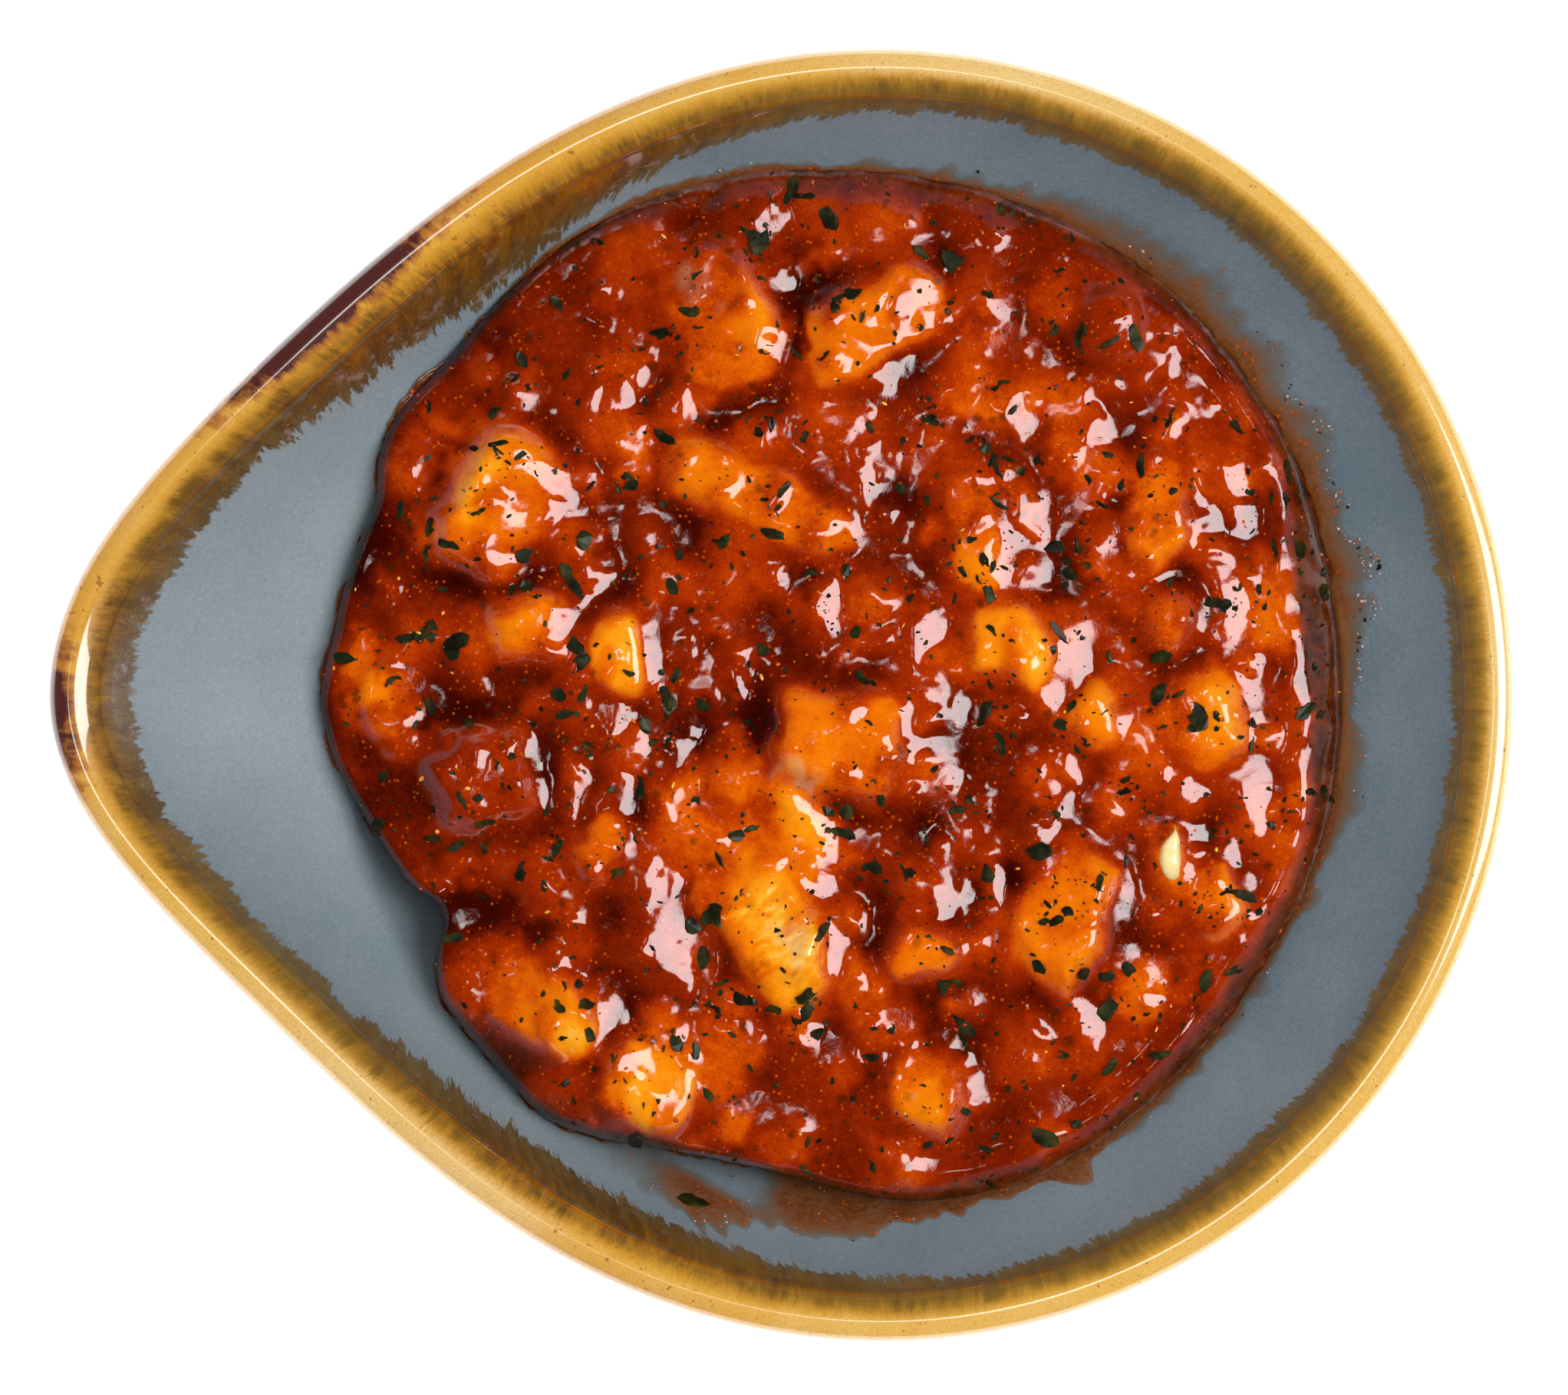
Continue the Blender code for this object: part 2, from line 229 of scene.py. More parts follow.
def well_point(turn, share):
    """A point inside the bowl: share is 0 at the middle of the floor and 1 at the top of the wall."""
    depth = (1 - share**WALL_FULLNESS) ** (1 / WALL_STEEPNESS)
    run_out = np.minimum(depth / TIP_DEPTH, 1.0)
    reach = TIP_REACH * (1 - run_out**1.3) ** 1.2
    top = outline_radius(turn, LIP_WIDTH, 0, 1)
    tip = outline_radius(turn, LIP_WIDTH, reach, 1 + 0.3 * run_out) - top
    radius = share * top + tip
    centre = ROUND_CENTRE - WELL_SHIFT * eased(run_out)
    height = WALL_TOP - (WALL_TOP - FLOOR_HEIGHT) * depth
    return np.stack([centre + radius * np.cos(turn), radius * np.sin(turn), height + 0 * turn], -1)


def well_normal(turn, share):
    """The unit normal of the inside of the bowl, pointing into the well."""
    step = 0.002
    across = well_point(turn + step, share) - well_point(turn - step, share)
    low, high = np.maximum(share - step, step), np.minimum(share + step, 1.0)
    normal = np.cross(well_point(turn, high) - well_point(turn, low), across)
    return normal / np.linalg.norm(normal, axis=-1, keepdims=True)


def joined(low, high, count):
    """The faces between two rings of equal count, from the number of each ring's first point."""
    here, ahead = np.arange(count), np.roll(np.arange(count), -1)
    return np.stack([low + here, low + ahead, high + ahead, high + here], -1).tolist()


def closed_loft(name, first, rings, last):
    """A closed mesh from one pole, through rings of equal count, to the other pole."""
    count = rings.shape[1]
    points = np.concatenate([[first], rings.reshape(-1, 3), [last]]) * MM
    here, ahead = np.arange(count), np.roll(np.arange(count), -1)
    faces = [(0, 1 + a, 1 + b) for a, b in zip(ahead, here)]
    for k in range(len(rings) - 1):
        faces += joined(1 + k * count, 1 + (k + 1) * count, count)
    end = len(points) - 1
    faces += [(end, end - count + a, end - count + b) for a, b in zip(here, ahead)]
    mesh = bpy.data.meshes.new(name)
    mesh.from_pydata(points.tolist(), [], faces)
    return mesh


def outward(mesh):
    """Turns every face of a closed mesh outwards and shades it smooth."""
    work = bmesh.new()
    work.from_mesh(mesh)
    bmesh.ops.recalc_face_normals(work, faces=work.faces)
    work.to_mesh(mesh)
    work.free()
    mesh.shade_smooth()
    return mesh


def as_piece(name, mesh, material, replaces=()):
    """A finished piece of the object, riding on its one body."""
    mesh.materials.clear()
    mesh.materials.append(material)
    piece = bpy.data.objects.new(name, mesh)
    bpy.context.scene.collection.objects.link(piece)
    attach(piece, "root")
    if replaces:
        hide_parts(*replaces)
    return piece


def set_values(mesh, name, values):
    """Stores one number for each vertex, for a material to read."""
    numbers = np.asarray(values, np.float32).ravel()
    mesh.attributes.new(name, "FLOAT", "POINT").data.foreach_set("value", numbers)


class Wire:
    """An output socket. Arithmetic on it adds Math nodes to its graph."""

    def __init__(self, graph, node, output=0):
        self.graph, self.node, self.socket = graph, node, node.outputs[output]

    def also(self, output):
        return Wire(self.graph, self.node, output)

    def maths(self, operation, *values):
        return self.graph.add("ShaderNodeMath", {"operation": operation}, dict(enumerate(values)))

    def __add__(self, other):
        return self.maths("ADD", self, other)

    __radd__ = __add__

    def __sub__(self, other):
        return self.maths("SUBTRACT", self, other)

    def __rsub__(self, other):
        return self.maths("SUBTRACT", other, self)

    def __mul__(self, other):
        return self.maths("MULTIPLY", self, other)

    __rmul__ = __mul__

    def clamped(self):
        return self.graph.add("ShaderNodeClamp", {}, {0: self})

    def step(self, low, high):
        """0 below low, 1 above high, smooth between."""
        settings = {"interpolation_type": "SMOOTHSTEP"}
        sockets = {"Value": self, "From Min": low, "From Max": high}
        return self.graph.add("ShaderNodeMapRange", settings, sockets)


class Graph:
    """A node tree that is being wired up."""

    def __init__(self, tree):
        self.tree = tree

    def feed(self, socket, value):
        if isinstance(value, Wire):
            self.tree.links.new(value.socket, socket)
        else:
            socket.default_value = value

    def add(self, kind, settings=None, sockets=None, output=0):
        """A node of this type: its settings first, then the values or links of its sockets."""
        node = self.tree.nodes.new(kind)
        for name, value in (settings or {}).items():
            if name == "stops":
                self.set_stops(node.color_ramp, value)
            else:
                setattr(node, name, value)
        for key, value in (sockets or {}).items():
            self.feed(node.inputs[key], value)
        return Wire(self, node, output)

    def scaled(self, vector, factor):
        return self.add("ShaderNodeVectorMath", {"operation": "SCALE"}, {0: vector, "Scale": factor})

    def set_stops(self, ramp, stops):
        while len(ramp.elements) > 1:
            ramp.elements.remove(ramp.elements[-1])
        for k, (position, colour) in enumerate(stops):
            element = ramp.elements[0] if k == 0 else ramp.elements.new(position)
            element.position = position
            element.color = (*colour, 1)


class Finish(Graph):
    """A material with one Principled shader."""

    def __init__(self, name, **constants):
        self.material = bpy.data.materials.new(name)
        self.material.use_nodes = True
        super().__init__(self.material.node_tree)
        self.shader = self.tree.nodes["Principled BSDF"]
        for socket, value in constants.items():
            self.shader.inputs[socket.replace("_", " ")].default_value = value
        self.place = self.add("ShaderNodeTexCoord", output="Object")

    def number(self, name):
        return self.add("ShaderNodeAttribute", {"attribute_name": name}, output="Fac")

    def noise(self, size, detail=2.0, roughness=0.5, where=None):
        """Noise of about this grain size in metres, near 0.5 on average."""
        sockets = {"Vector": where or self.place, "Scale": 1 / size, "Detail": detail, "Roughness": roughness}
        return self.add("ShaderNodeTexNoise", {}, sockets)

    def specks(self, apart):
        """Distance from the nearest of points strewn about this far apart in metres, as a share of it."""
        return self.add("ShaderNodeTexVoronoi", {}, {"Vector": self.place, "Scale": 1 / apart})

    def mix(self, share, first, second):
        """A colour between two colours."""
        first, second = ((*c, 1) if isinstance(c, tuple) else c for c in (first, second))
        return self.add("ShaderNodeMix", {"data_type": "RGBA"}, {0: share, 6: first, 7: second}, 2)

    def ramp(self, position, *stops):
        return self.add("ShaderNodeValToRGB", {"stops": stops}, {0: position})

    def bump(self, height, distance, strength=1.0):
        sockets = {"Height": height, "Distance": distance, "Strength": strength}
        return self.add("ShaderNodeBump", {}, sockets)

    def set(self, **wires):
        for socket, wire in wires.items():
            self.feed(self.shader.inputs[socket.replace("_", " ")], wire)


def bowl_sections(turn):
    """The bowl's contours from the floor over the lip to the foot, and which of them is the crest."""
    well = [well_point(turn, np.sin(np.pi / 2 * k / WELL_RINGS)) for k in range(1, WELL_RINGS + 1)]
    lip = []
    for k in range(1, LIP_RINGS + 1):
        bend = math.pi * k / LIP_RINGS
        inset = LIP_WIDTH * ((1 + math.cos(bend)) / 2) ** LIP_LEAN
        lip.append(lip_point(turn, inset, WALL_TOP + LIP_RISE * math.sin(bend)))
    outside = []
    for k in range(1, OUTSIDE_RINGS + 1):
        share = 1 - (1 - OUTSIDE_SHARE) * k / OUTSIDE_RINGS
        wall = LIP_WIDTH + BASE_THICKENING * (1 - share)
        outside.append(well_point(turn, share) - wall * well_normal(turn, share))
    inner = FOOT_RADIUS - FOOT_WIDTH
    foot = [
        (FOOT_TOP_RADIUS, FOOT_TOP),
        (FOOT_TOP_RADIUS - 0.3, FOOT_TOP - 0.8),
        (FOOT_RADIUS, FOOT_ROUNDING),
        (FOOT_RADIUS - 0.15, 0.15),
        (FOOT_RADIUS - FOOT_ROUNDING, 0),
        (inner + FOOT_ROUNDING, 0),
        (inner + 0.15, 0.15),
        (inner, FOOT_ROUNDING),
        (inner - 0.2, RECESS_HEIGHT),
        (inner - 1.0, RECESS_HEIGHT),
    ]
    rings = [np.stack([WELL_CENTRE + r * np.cos(turn), r * np.sin(turn), z + 0 * turn], -1) for r, z in foot]
    return np.array(well + lip + outside + rings), WELL_RINGS + LIP_RINGS // 2 - 1


def glaze_material():
    """Slate blue, breaking to olive, brown, amber and cream towards the crest of the lip."""
    glaze = Finish("broken_slate_glaze", Coat_IOR=1.9, Coat_Roughness=0.05, Specular_IOR_Level=0.6)
    along = glaze.add("ShaderNodeUVMap", {"uv_map": "section"})
    stretched = glaze.add("ShaderNodeMapping", {}, {"Vector": along, "Scale": (1.0, 0.22, 1.0)})
    streaks = glaze.noise(0.50 * MM, 4, 0.65, stretched) - 0.5
    runs = glaze.noise(2.2 * MM, 3, 0.6, stretched) - 0.5
    hairs = glaze.noise(0.20 * MM, 3, 0.7, stretched) - 0.5
    drift = glaze.noise(8 * MM, 2) - 0.5
    plain = glaze.number("band")
    ragged = plain.step(0.34, 0.62)
    band = plain + (streaks * 0.34 + runs * 0.36) * (ragged + 0.22) + hairs * 0.17 + drift * 0.18
    pale = glaze.ramp(
        band,
        (0.00, (0.30, 0.130, 0.022)),
        (0.08, (0.62, 0.340, 0.085)),
        (0.16, (0.77, 0.460, 0.105)),
        (0.25, (0.74, 0.415, 0.058)),
        (0.34, (0.59, 0.295, 0.020)),
        (0.43, (0.42, 0.200, 0.008)),
        (0.54, (0.28, 0.138, 0.004)),
        (0.66, (0.192, 0.104, 0.008)),
        (0.80, (0.145, 0.098, 0.024)),
        (0.94, (0.118, 0.104, 0.062)),
    )
    amber = glaze.ramp(
        band,
        (0.00, (0.17, 0.050, 0.005)),
        (0.09, (0.42, 0.165, 0.020)),
        (0.18, (0.62, 0.270, 0.022)),
        (0.28, (0.72, 0.350, 0.014)),
        (0.38, (0.58, 0.250, 0.005)),
        (0.50, (0.34, 0.142, 0.003)),
        (0.62, (0.240, 0.094, 0.002)),
        (0.76, (0.105, 0.040, 0.002)),
        (0.94, (0.080, 0.040, 0.008)),
    )
    warm = glaze.number("warm") + drift * 0.9 + runs * 0.8
    broken = glaze.mix(warm.clamped(), pale, amber)
    cream = (glaze.number("cream") + drift * 1.1 + runs * 0.5).clamped() * (1 - band.step(0.24, 0.44))
    broken = glaze.mix(cream, broken, (0.86, 0.64, 0.30))
    speckle = glaze.noise(0.16 * MM, 2, 0.7) - 0.5
    broken = glaze.mix((speckle * 1.6 + 0.08).clamped(), broken, (0.36, 0.17, 0.03))
    mottle = glaze.noise(0.30 * MM, 4, 0.8)
    cloud = glaze.noise(11 * MM, 3)
    # The slate blue carries painted light and shade: lighter on the left flanks, darker on the right.
    slate = glaze.ramp(
        mottle * 0.62 + cloud * 0.38 + glaze.number("painted_slate_shading"),
        (0.30, (0.108, 0.158, 0.194)),
        (0.70, (0.234, 0.274, 0.296)),
    )
    blotch = glaze.noise(1.8 * MM, 5, 0.75, stretched).step(0.42, 0.58)
    blotch = blotch * band.step(0.36, 0.52) * (0.40 + warm * 0.45)
    broken = glaze.mix((blotch * 0.90).clamped(), broken, (0.075, 0.034, 0.003))
    violet = (glaze.noise(1.3 * MM, 4, 0.7) + warm * 0.10).step(0.62, 0.74) * band.step(0.62, 0.80)
    broken = glaze.mix(violet * 0.62, broken, (0.25, 0.175, 0.15))
    colour = glaze.mix(band.step(0.93, 0.99), broken, slate)
    rust = (glaze.noise(1.1 * MM, 3, 0.7) + glaze.number("warm") * 0.05).step(0.66, 0.72)
    rust = rust * (1 - band.step(0.30, 0.5))
    colour = glaze.mix(rust * 0.8, colour, (0.33, 0.09, 0.008))
    mark = glaze.number("stain")
    stain = mark + ((glaze.noise(1.6 * MM, 3) - 0.5) * 0.9 + streaks * 0.7) * mark.step(0.0, 0.3)
    colour = glaze.mix(stain.step(0.14, 0.36) * 0.75, colour, (0.36, 0.100, 0.006))
    colour = glaze.mix(stain.step(0.32, 0.60), colour, (0.085, 0.013, 0.010))
    pins = 1 - glaze.specks(0.8 * MM).step(0.06, 0.16)
    pinned = pins * (1 - glaze.number("band").step(0.55, 0.8)) * glaze.noise(4 * MM).step(0.44, 0.6)
    colour = glaze.mix(pinned * 0.8, colour, (0.24, 0.085, 0.012))
    peel = glaze.bump(glaze.noise(0.6 * MM, 2), 0.02 * MM, 0.4)
    gloss = (1 - band.step(0.60, 0.90)) * (1 - glaze.number("matt"))
    glaze.set(Base_Color=colour, Roughness=0.50 - gloss * 0.20, Coat_Weight=gloss, Normal=peel)
    return glaze.material


def glaze_numbers(turn, across, inward):
    """What the glaze reads at each point of the bowl, by name.

    The point lies level across from the crest of the lip, and inward from it over the surface.
    band runs from the crest to slate blue; the others say how much the glaze there is stained
    maroon, breaks to cream, is warm in colour, and matt, and how much painted light and shade
    lighten or darken the slate blue.
    """
    off, off_back = from_tip(turn), from_tip(turn + np.pi)
    left_back, left_front = bell(off, -0.85, 0.42), bell(off, 1.05, 0.38)
    breadth = GLAZE_BREAK * (1 + 0.95 * left_back + 0.62 * left_front + 0.55 * bell(off, 0, 0.3))
    band = np.where(inward > 0, 0.22 + 0.72 * across / breadth, 0.22 + (0.045 + 0.03 * left_back) * inward)
    band = np.where(inward < -3.0, 0.13 - 0.28 * (inward + 3.0) / 3.0, band)
    outer_lip = bell(inward, -1.1, 1.8)
    stain = outer_lip * (1.15 * bell(off, -0.61, 0.19) + 0.8 * bell(off, 0.02, 0.09))
    cream = 0.8 * bell(off, -1.75, 0.35) + 0.7 * bell(off, 0.75, 0.4)
    cream = cream + 0.6 * bell(off_back, 0, 0.3) - 0.25 - 0.35 * left_back
    warm = bell(off, -0.75, 0.55) + 0.75 * bell(off, 0, 0.22) + 0.7 * left_front - 0.1
    # Painted light and shade: the slate blue is lighter on the upper and lower left flanks and darker on the
    # right.
    painted_slate_shading = 0.11 * bell(off, -0.45, 0.3) + 0.13 * bell(off, 0.85, 0.4)
    painted_slate_shading = painted_slate_shading - 0.15 * bell(off_back, 0.3, 1.2, power=4)
    matt = 0.9 * bell(off, 0, 0.3) * eased((inward - 1.5) / 0.8) * eased((9.0 - inward) / 2.0)
    return {"band": band, "stain": stain, "cream": cream, "warm": warm, "painted_slate_shading": painted_slate_shading, "matt": matt}


def make_bowl():
    turn = np.pi + np.linspace(0, 2 * np.pi, BOWL_AROUND, endpoint=False)
    turn = turn - TIP_CROWDING * np.sin(turn - np.pi)
    rings, crest = bowl_sections(turn)
    mesh = closed_loft("bowl_glazed", (WELL_CENTRE, 0, FLOOR_HEIGHT), rings, (WELL_CENTRE, 0, RECESS_HEIGHT))
    across = np.linalg.norm(rings[..., :2] - rings[crest][..., :2], axis=-1)
    steps = np.linalg.norm(np.diff(rings, axis=0), axis=-1)
    along = np.concatenate([np.zeros((1, len(turn))), np.cumsum(steps, axis=0)])
    inward = along[crest] - along
    for name, numbers in glaze_numbers(turn, across, inward).items():
        at_pole = [2.0] if name == "band" else [0.0]
        numbers = np.broadcast_to(numbers, along.shape).ravel()
        set_values(mesh, name, np.concatenate([at_pole, numbers, at_pole]))
    round_way = np.broadcast_to(turn * ROUND_RADIUS, along.shape)
    places = np.stack([round_way, inward], -1).reshape(-1, 2) * MM
    places = np.concatenate([places[:1], places, places[-1:]])
    corners = np.zeros(len(mesh.loops), np.int32)
    mesh.loops.foreach_get("vertex_index", corners)
    uv = places[corners].reshape(-1, 2)
    mesh.uv_layers.new(name="section").data.foreach_set("uv", uv.astype(np.float32).ravel())
    as_piece("bowl_glazed", outward(mesh), glaze_material(), ["bowl"])


make_bowl()


# ---------------------------------------------------------------------------------------
# The chopped onion: pieces of cooked onion layer, soft and translucent, amber to yellow.
# Each stands for its own solid, with the edges rounded and the flesh a little uneven.
# ---------------------------------------------------------------------------------------

ONION_GRAIN = 0.28
ONION_BEND = 0.28               # how far a piece's sides wander from the solid's
CORNERS_CUT = 4


def waves(x, y, size, seed, count=28):
    """Smooth random swells about this size across, near 1 in height."""
    draw = np.random.default_rng(seed)
    heading = draw.uniform(0, 2 * np.pi, count)
    pace = 2 * np.pi / (size * draw.uniform(0.75, 1.6, count))
    phase = draw.uniform(0, 2 * np.pi, count)
    total = sum(np.cos(p * (x * np.cos(h) + y * np.sin(h)) + f) for h, p, f in zip(heading, pace, phase))
    return total / math.sqrt(count / 2)


def vertex_rows(mesh, kind):
    """The places or the normals of a mesh's vertices, one in each row."""
    rows = np.zeros(len(mesh.vertices) * 3, np.float32)
    mesh.vertices.foreach_get(kind, rows)
    return rows.reshape(-1, 3)


def onion_material():
    flesh = Finish(
        "cooked_onion",
        Roughness=0.22,
        Subsurface_Weight=0.5,
        Subsurface_Radius=(1.6, 0.8, 0.25),
        Subsurface_Scale=1 * MM,
        Coat_Weight=1.0,
        Coat_Roughness=0.04,
    )
    pale = flesh.number("pale")
    veins = flesh.noise(1.4 * MM, 3, 0.6)
    tone = (pale + (veins - 0.5) * 0.8).clamped()
    colour = flesh.ramp(
        tone,
        (0.0, (0.62, 0.13, 0.008)),
        (0.45, (0.80, 0.30, 0.02)),
        (0.75, (0.88, 0.46, 0.07)),
        (1.0, (0.95, 0.72, 0.34)),
    )
    flesh.set(Base_Color=colour, Normal=flesh.bump(flesh.noise(0.5 * MM, 2), 0.05 * MM, 0.5))
    return flesh.material


def chopped(mesh, heading, sink, seed):
    """Slices the top off a piece so that it dips towards its heading, then cuts a few corners."""
    draw = np.random.default_rng(seed)
    low, high = np.array([v.co for v in mesh.verts]).min(0), np.array([v.co for v in mesh.verts]).max(0)
    middle, half = Vector((low + high) / 2), Vector((high - low) / 2)
    ahead = Vector((math.cos(heading), math.sin(heading), 0))
    reach = sum(abs(ahead[k]) * half[k] for k in range(3))
    start = Vector((middle.x, middle.y, high[2] - 0.05 * MM)) - ahead * reach * 0.55
    cuts = [(start, (ahead * (0.10 + 0.16 * sink) + Vector((0, 0, 1))).normalized())]
    for _ in range(CORNERS_CUT):
        turn = draw.uniform(0, 2 * np.pi)
        normal = Vector((math.cos(turn), math.sin(turn), draw.uniform(-0.1, 0.7))).normalized()
        far = sum(abs(normal[k]) * half[k] for k in range(3)) * draw.uniform(0.62, 0.82)
        cuts.append((middle + normal * far, normal))
    for point, normal in cuts:
        parts = [*mesh.verts, *mesh.edges, *mesh.faces]
        cut = bmesh.ops.bisect_plane(mesh, geom=parts, plane_co=point, plane_no=normal, clear_outer=True)
        rim = [e for e in cut["geom_cut"] if isinstance(e, bmesh.types.BMEdge)]
        bmesh.ops.contextual_create(mesh, geom=rim)


def smooth_piece(name, node, heading, sink, seed):
    """The node's solid with its corners cut, remeshed finely and relaxed."""
    work = bmesh.new()
    work.from_mesh(node.data)
    bmesh.ops.remove_doubles(work, verts=work.verts, dist=1e-6)
    chopped(work, heading, sink, seed)
    mesh = bpy.data.meshes.new(name)
    work.to_mesh(mesh)
    work.free()
    block = bpy.data.objects.new(name, mesh)
    bpy.context.scene.collection.objects.link(block)
    grain = block.modifiers.new("grain", "REMESH")
    grain.mode = "VOXEL"
    grain.voxel_size = ONION_GRAIN * MM
    relax = block.modifiers.new("relax", "SMOOTH")
    relax.factor = 0.5
    relax.iterations = 2
    made = bpy.data.meshes.new_from_object(block.evaluated_get(bpy.context.evaluated_depsgraph_get()))
    bpy.data.objects.remove(block)
    bpy.data.meshes.remove(mesh)
    return made


# How pale each piece is, how thick the sauce lies on its crown in millimetres (below 0 it is
# bare), the heading in degrees in which it sinks, and how much thicker the sauce is on that side.
ONION_LOOKS = {
    "onion_wedge_left": (0.60, 0.05, -25, 0.9),
    "onion_chip_upper_left": (0.30, 0.25, 45, 0.8),
    "onion_dome_left": (0.55, 0.08, -20, 0.5),
    "onion_wedge_yellow": (1.10, 0.0, -100, 0.3),
    "onion_flat_edge": (0.40, 0.15, 20, 0.5),
    "onion_dome_large_left": (0.10, 0.90, 0, 0.2),
    "onion_leaf_top": (0.52, 0.08, 170, 0.9),
    "onion_finger_top": (0.62, 0.04, 10, 0.6),
    "onion_slice_upper": (0.46, 0.12, 75, 0.5),
    "onion_stick_right": (0.52, 0.08, 100, 0.6),
    "onion_block_right": (0.68, 0.03, 150, 0.3),
    "onion_block_centre": (0.60, 0.04, -70, 0.5),
    "onion_slice_long": (0.58, 0.10, 118, 0.9),
    "onion_wedge_small": (0.74, 0.02, 120, 0.4),
    "onion_arc_lower_right": (0.56, 0.06, 150, 0.8),
    "onion_sliver_white": (1.00, -0.30, 90, 0.1),
    "onion_ridge_right": (0.70, 0.03, 190, 0.9),
    "onion_dome_right": (0.50, 0.10, 200, 0.4),
    "onion_dome_small_right": (0.52, 0.08, -90, 0.5),
    "onion_curl_right": (0.44, 0.12, 120, 0.8),
    "onion_chip_right": (0.44, 0.10, 190, 0.6),
    "onion_dome_top_right": (0.10, 0.80, 0, 0.2),
    "onion_edge_lower_left": (0.80, 0.00, 140, 1.3),
    "onion_chunk_lower": (1.10, 0.0, 30, 0.6),
    "onion_chip_left": (0.58, 0.05, -60, 0.4),
    "onion_block_bottom": (0.58, 0.06, 110, 1.0),
}


def make_onions():
    flesh = onion_material()
    pieces = []
    for number, name in enumerate(sorted(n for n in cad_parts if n.startswith("onion_"))):
        paleness, crown, heading, sink = ONION_LOOKS[name]
        mesh = smooth_piece(name + "_flesh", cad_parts[name], math.radians(heading), sink, 60 + number)
        co, normal = vertex_rows(mesh, "co"), vertex_rows(mesh, "normal")
        x, y, z = (co / MM).T
        swell = 0.05 * waves(x + z, y - z, 3.4, 100 + number) + 0.015 * waves(x - z, y + z, 1.3, 200 + number)
        under = 0.15 if crown >= 0 else 0
        moved = co + normal * ((swell - under) * MM)[:, None]
        moved[:, 0] += ONION_BEND * MM * waves(x, y, 4.6, 31)
        moved[:, 1] += ONION_BEND * MM * waves(x, y, 4.6, 32)
        mesh.vertices.foreach_set("co", moved.ravel())
        top = eased((z - z.max() + 2.2) / 2.0)
        set_values(mesh, "pale", paleness * (0.45 + 0.55 * top))
        mesh.shade_smooth()
        pieces.append(as_piece(name + "_flesh", mesh, flesh, [name]))
    return pieces


onions = make_onions()


# ---------------------------------------------------------------------------------------
# The sauce: thick, wet and red, heaped a little over its level. It drapes over the onion,
# thin and amber on the crowns and dark red in the hollows, where painted shade darkens it too,
# and rolls down to the glaze.
# ---------------------------------------------------------------------------------------

POOL_RADIUS = 39.3
POOL_LEVEL = 22.1
MOUND_RISE = 1.5
FIELD_HALF = 43.0
FIELD_STEP = 0.2
NOTHING = -99.0                 # the height of a field's cell with nothing in it
SAUCE_CELLS = 288
SAUCE_UNDER_ROWS = 5
NEAR_WALL = 8                   # this near its edge, the sauce may touch the wall
BEDDING = 0.1                   # how far the sauce's underside reaches into the glaze
SUNK = 0.1                      # how far under the skin a coated piece of onion ends
LEAN = 0.39                     # the slope of a facet that throws the window's light straight up
FACET_ROUNDS = 16               # how often the skin is leant and let go again
FACET_HOLD = 0.06               # how strongly the leant skin is held to where it lay
BURIED = 330                    # chopped pieces that lie under the sauce
LARGE_BURIED = 170              # how many of them are large
DRAPE_ROUNDS = 13
DRAPE_REACH = 0.46              # how far the skin spreads in each round
DRAPE_PULL = 0.045              # the share of its height over the level that it loses in each round
# The sauce's edge round the well's centre: degrees, millimetres.
SAUCE_EDGE = (
    (0, 39.4), (12, 39.6), (30, 40.3), (48, 40.7), (62, 40.6), (88, 40.3), (98, 40.6), (109, 40.8),
    (118, 40.6), (128, 39.9), (138, 39.3), (147, 40.0), (152, 39.7), (156, 38.3), (163, 38.4),
    (173, 38.7), (181, 39.6), (188, 38.6), (196, 37.1), (204, 35.9), (207.5, 34.6), (210.5, 34.6),
    (212.5, 36.6), (217, 38.1), (227, 38.6), (236, 39.4), (243, 38.4), (248, 37.4), (254, 36.9),
    (260, 36.8), (266, 37.2), (272, 38.2), (278, 39.2), (284, 39.7), (292, 40.2), (301, 40.1),
    (315, 39.4), (326, 38.9), (337, 39.3), (345, 39.4),
)
# How far in from that edge the surface starts its slope to the wall at the right: degrees, millimetres.
ROLL_IN = (
    (5, 3.6), (14, 4.1), (19, 3.4), (24, 2.0), (32, 1.5), (45, 1.5), (180, 1.5), (298, 1.6), (330, 2.0),
    (341, 1.9), (346, 1.9), (351, 3.1), (357, 2.9),
)
ROLL_DROP = 2.6
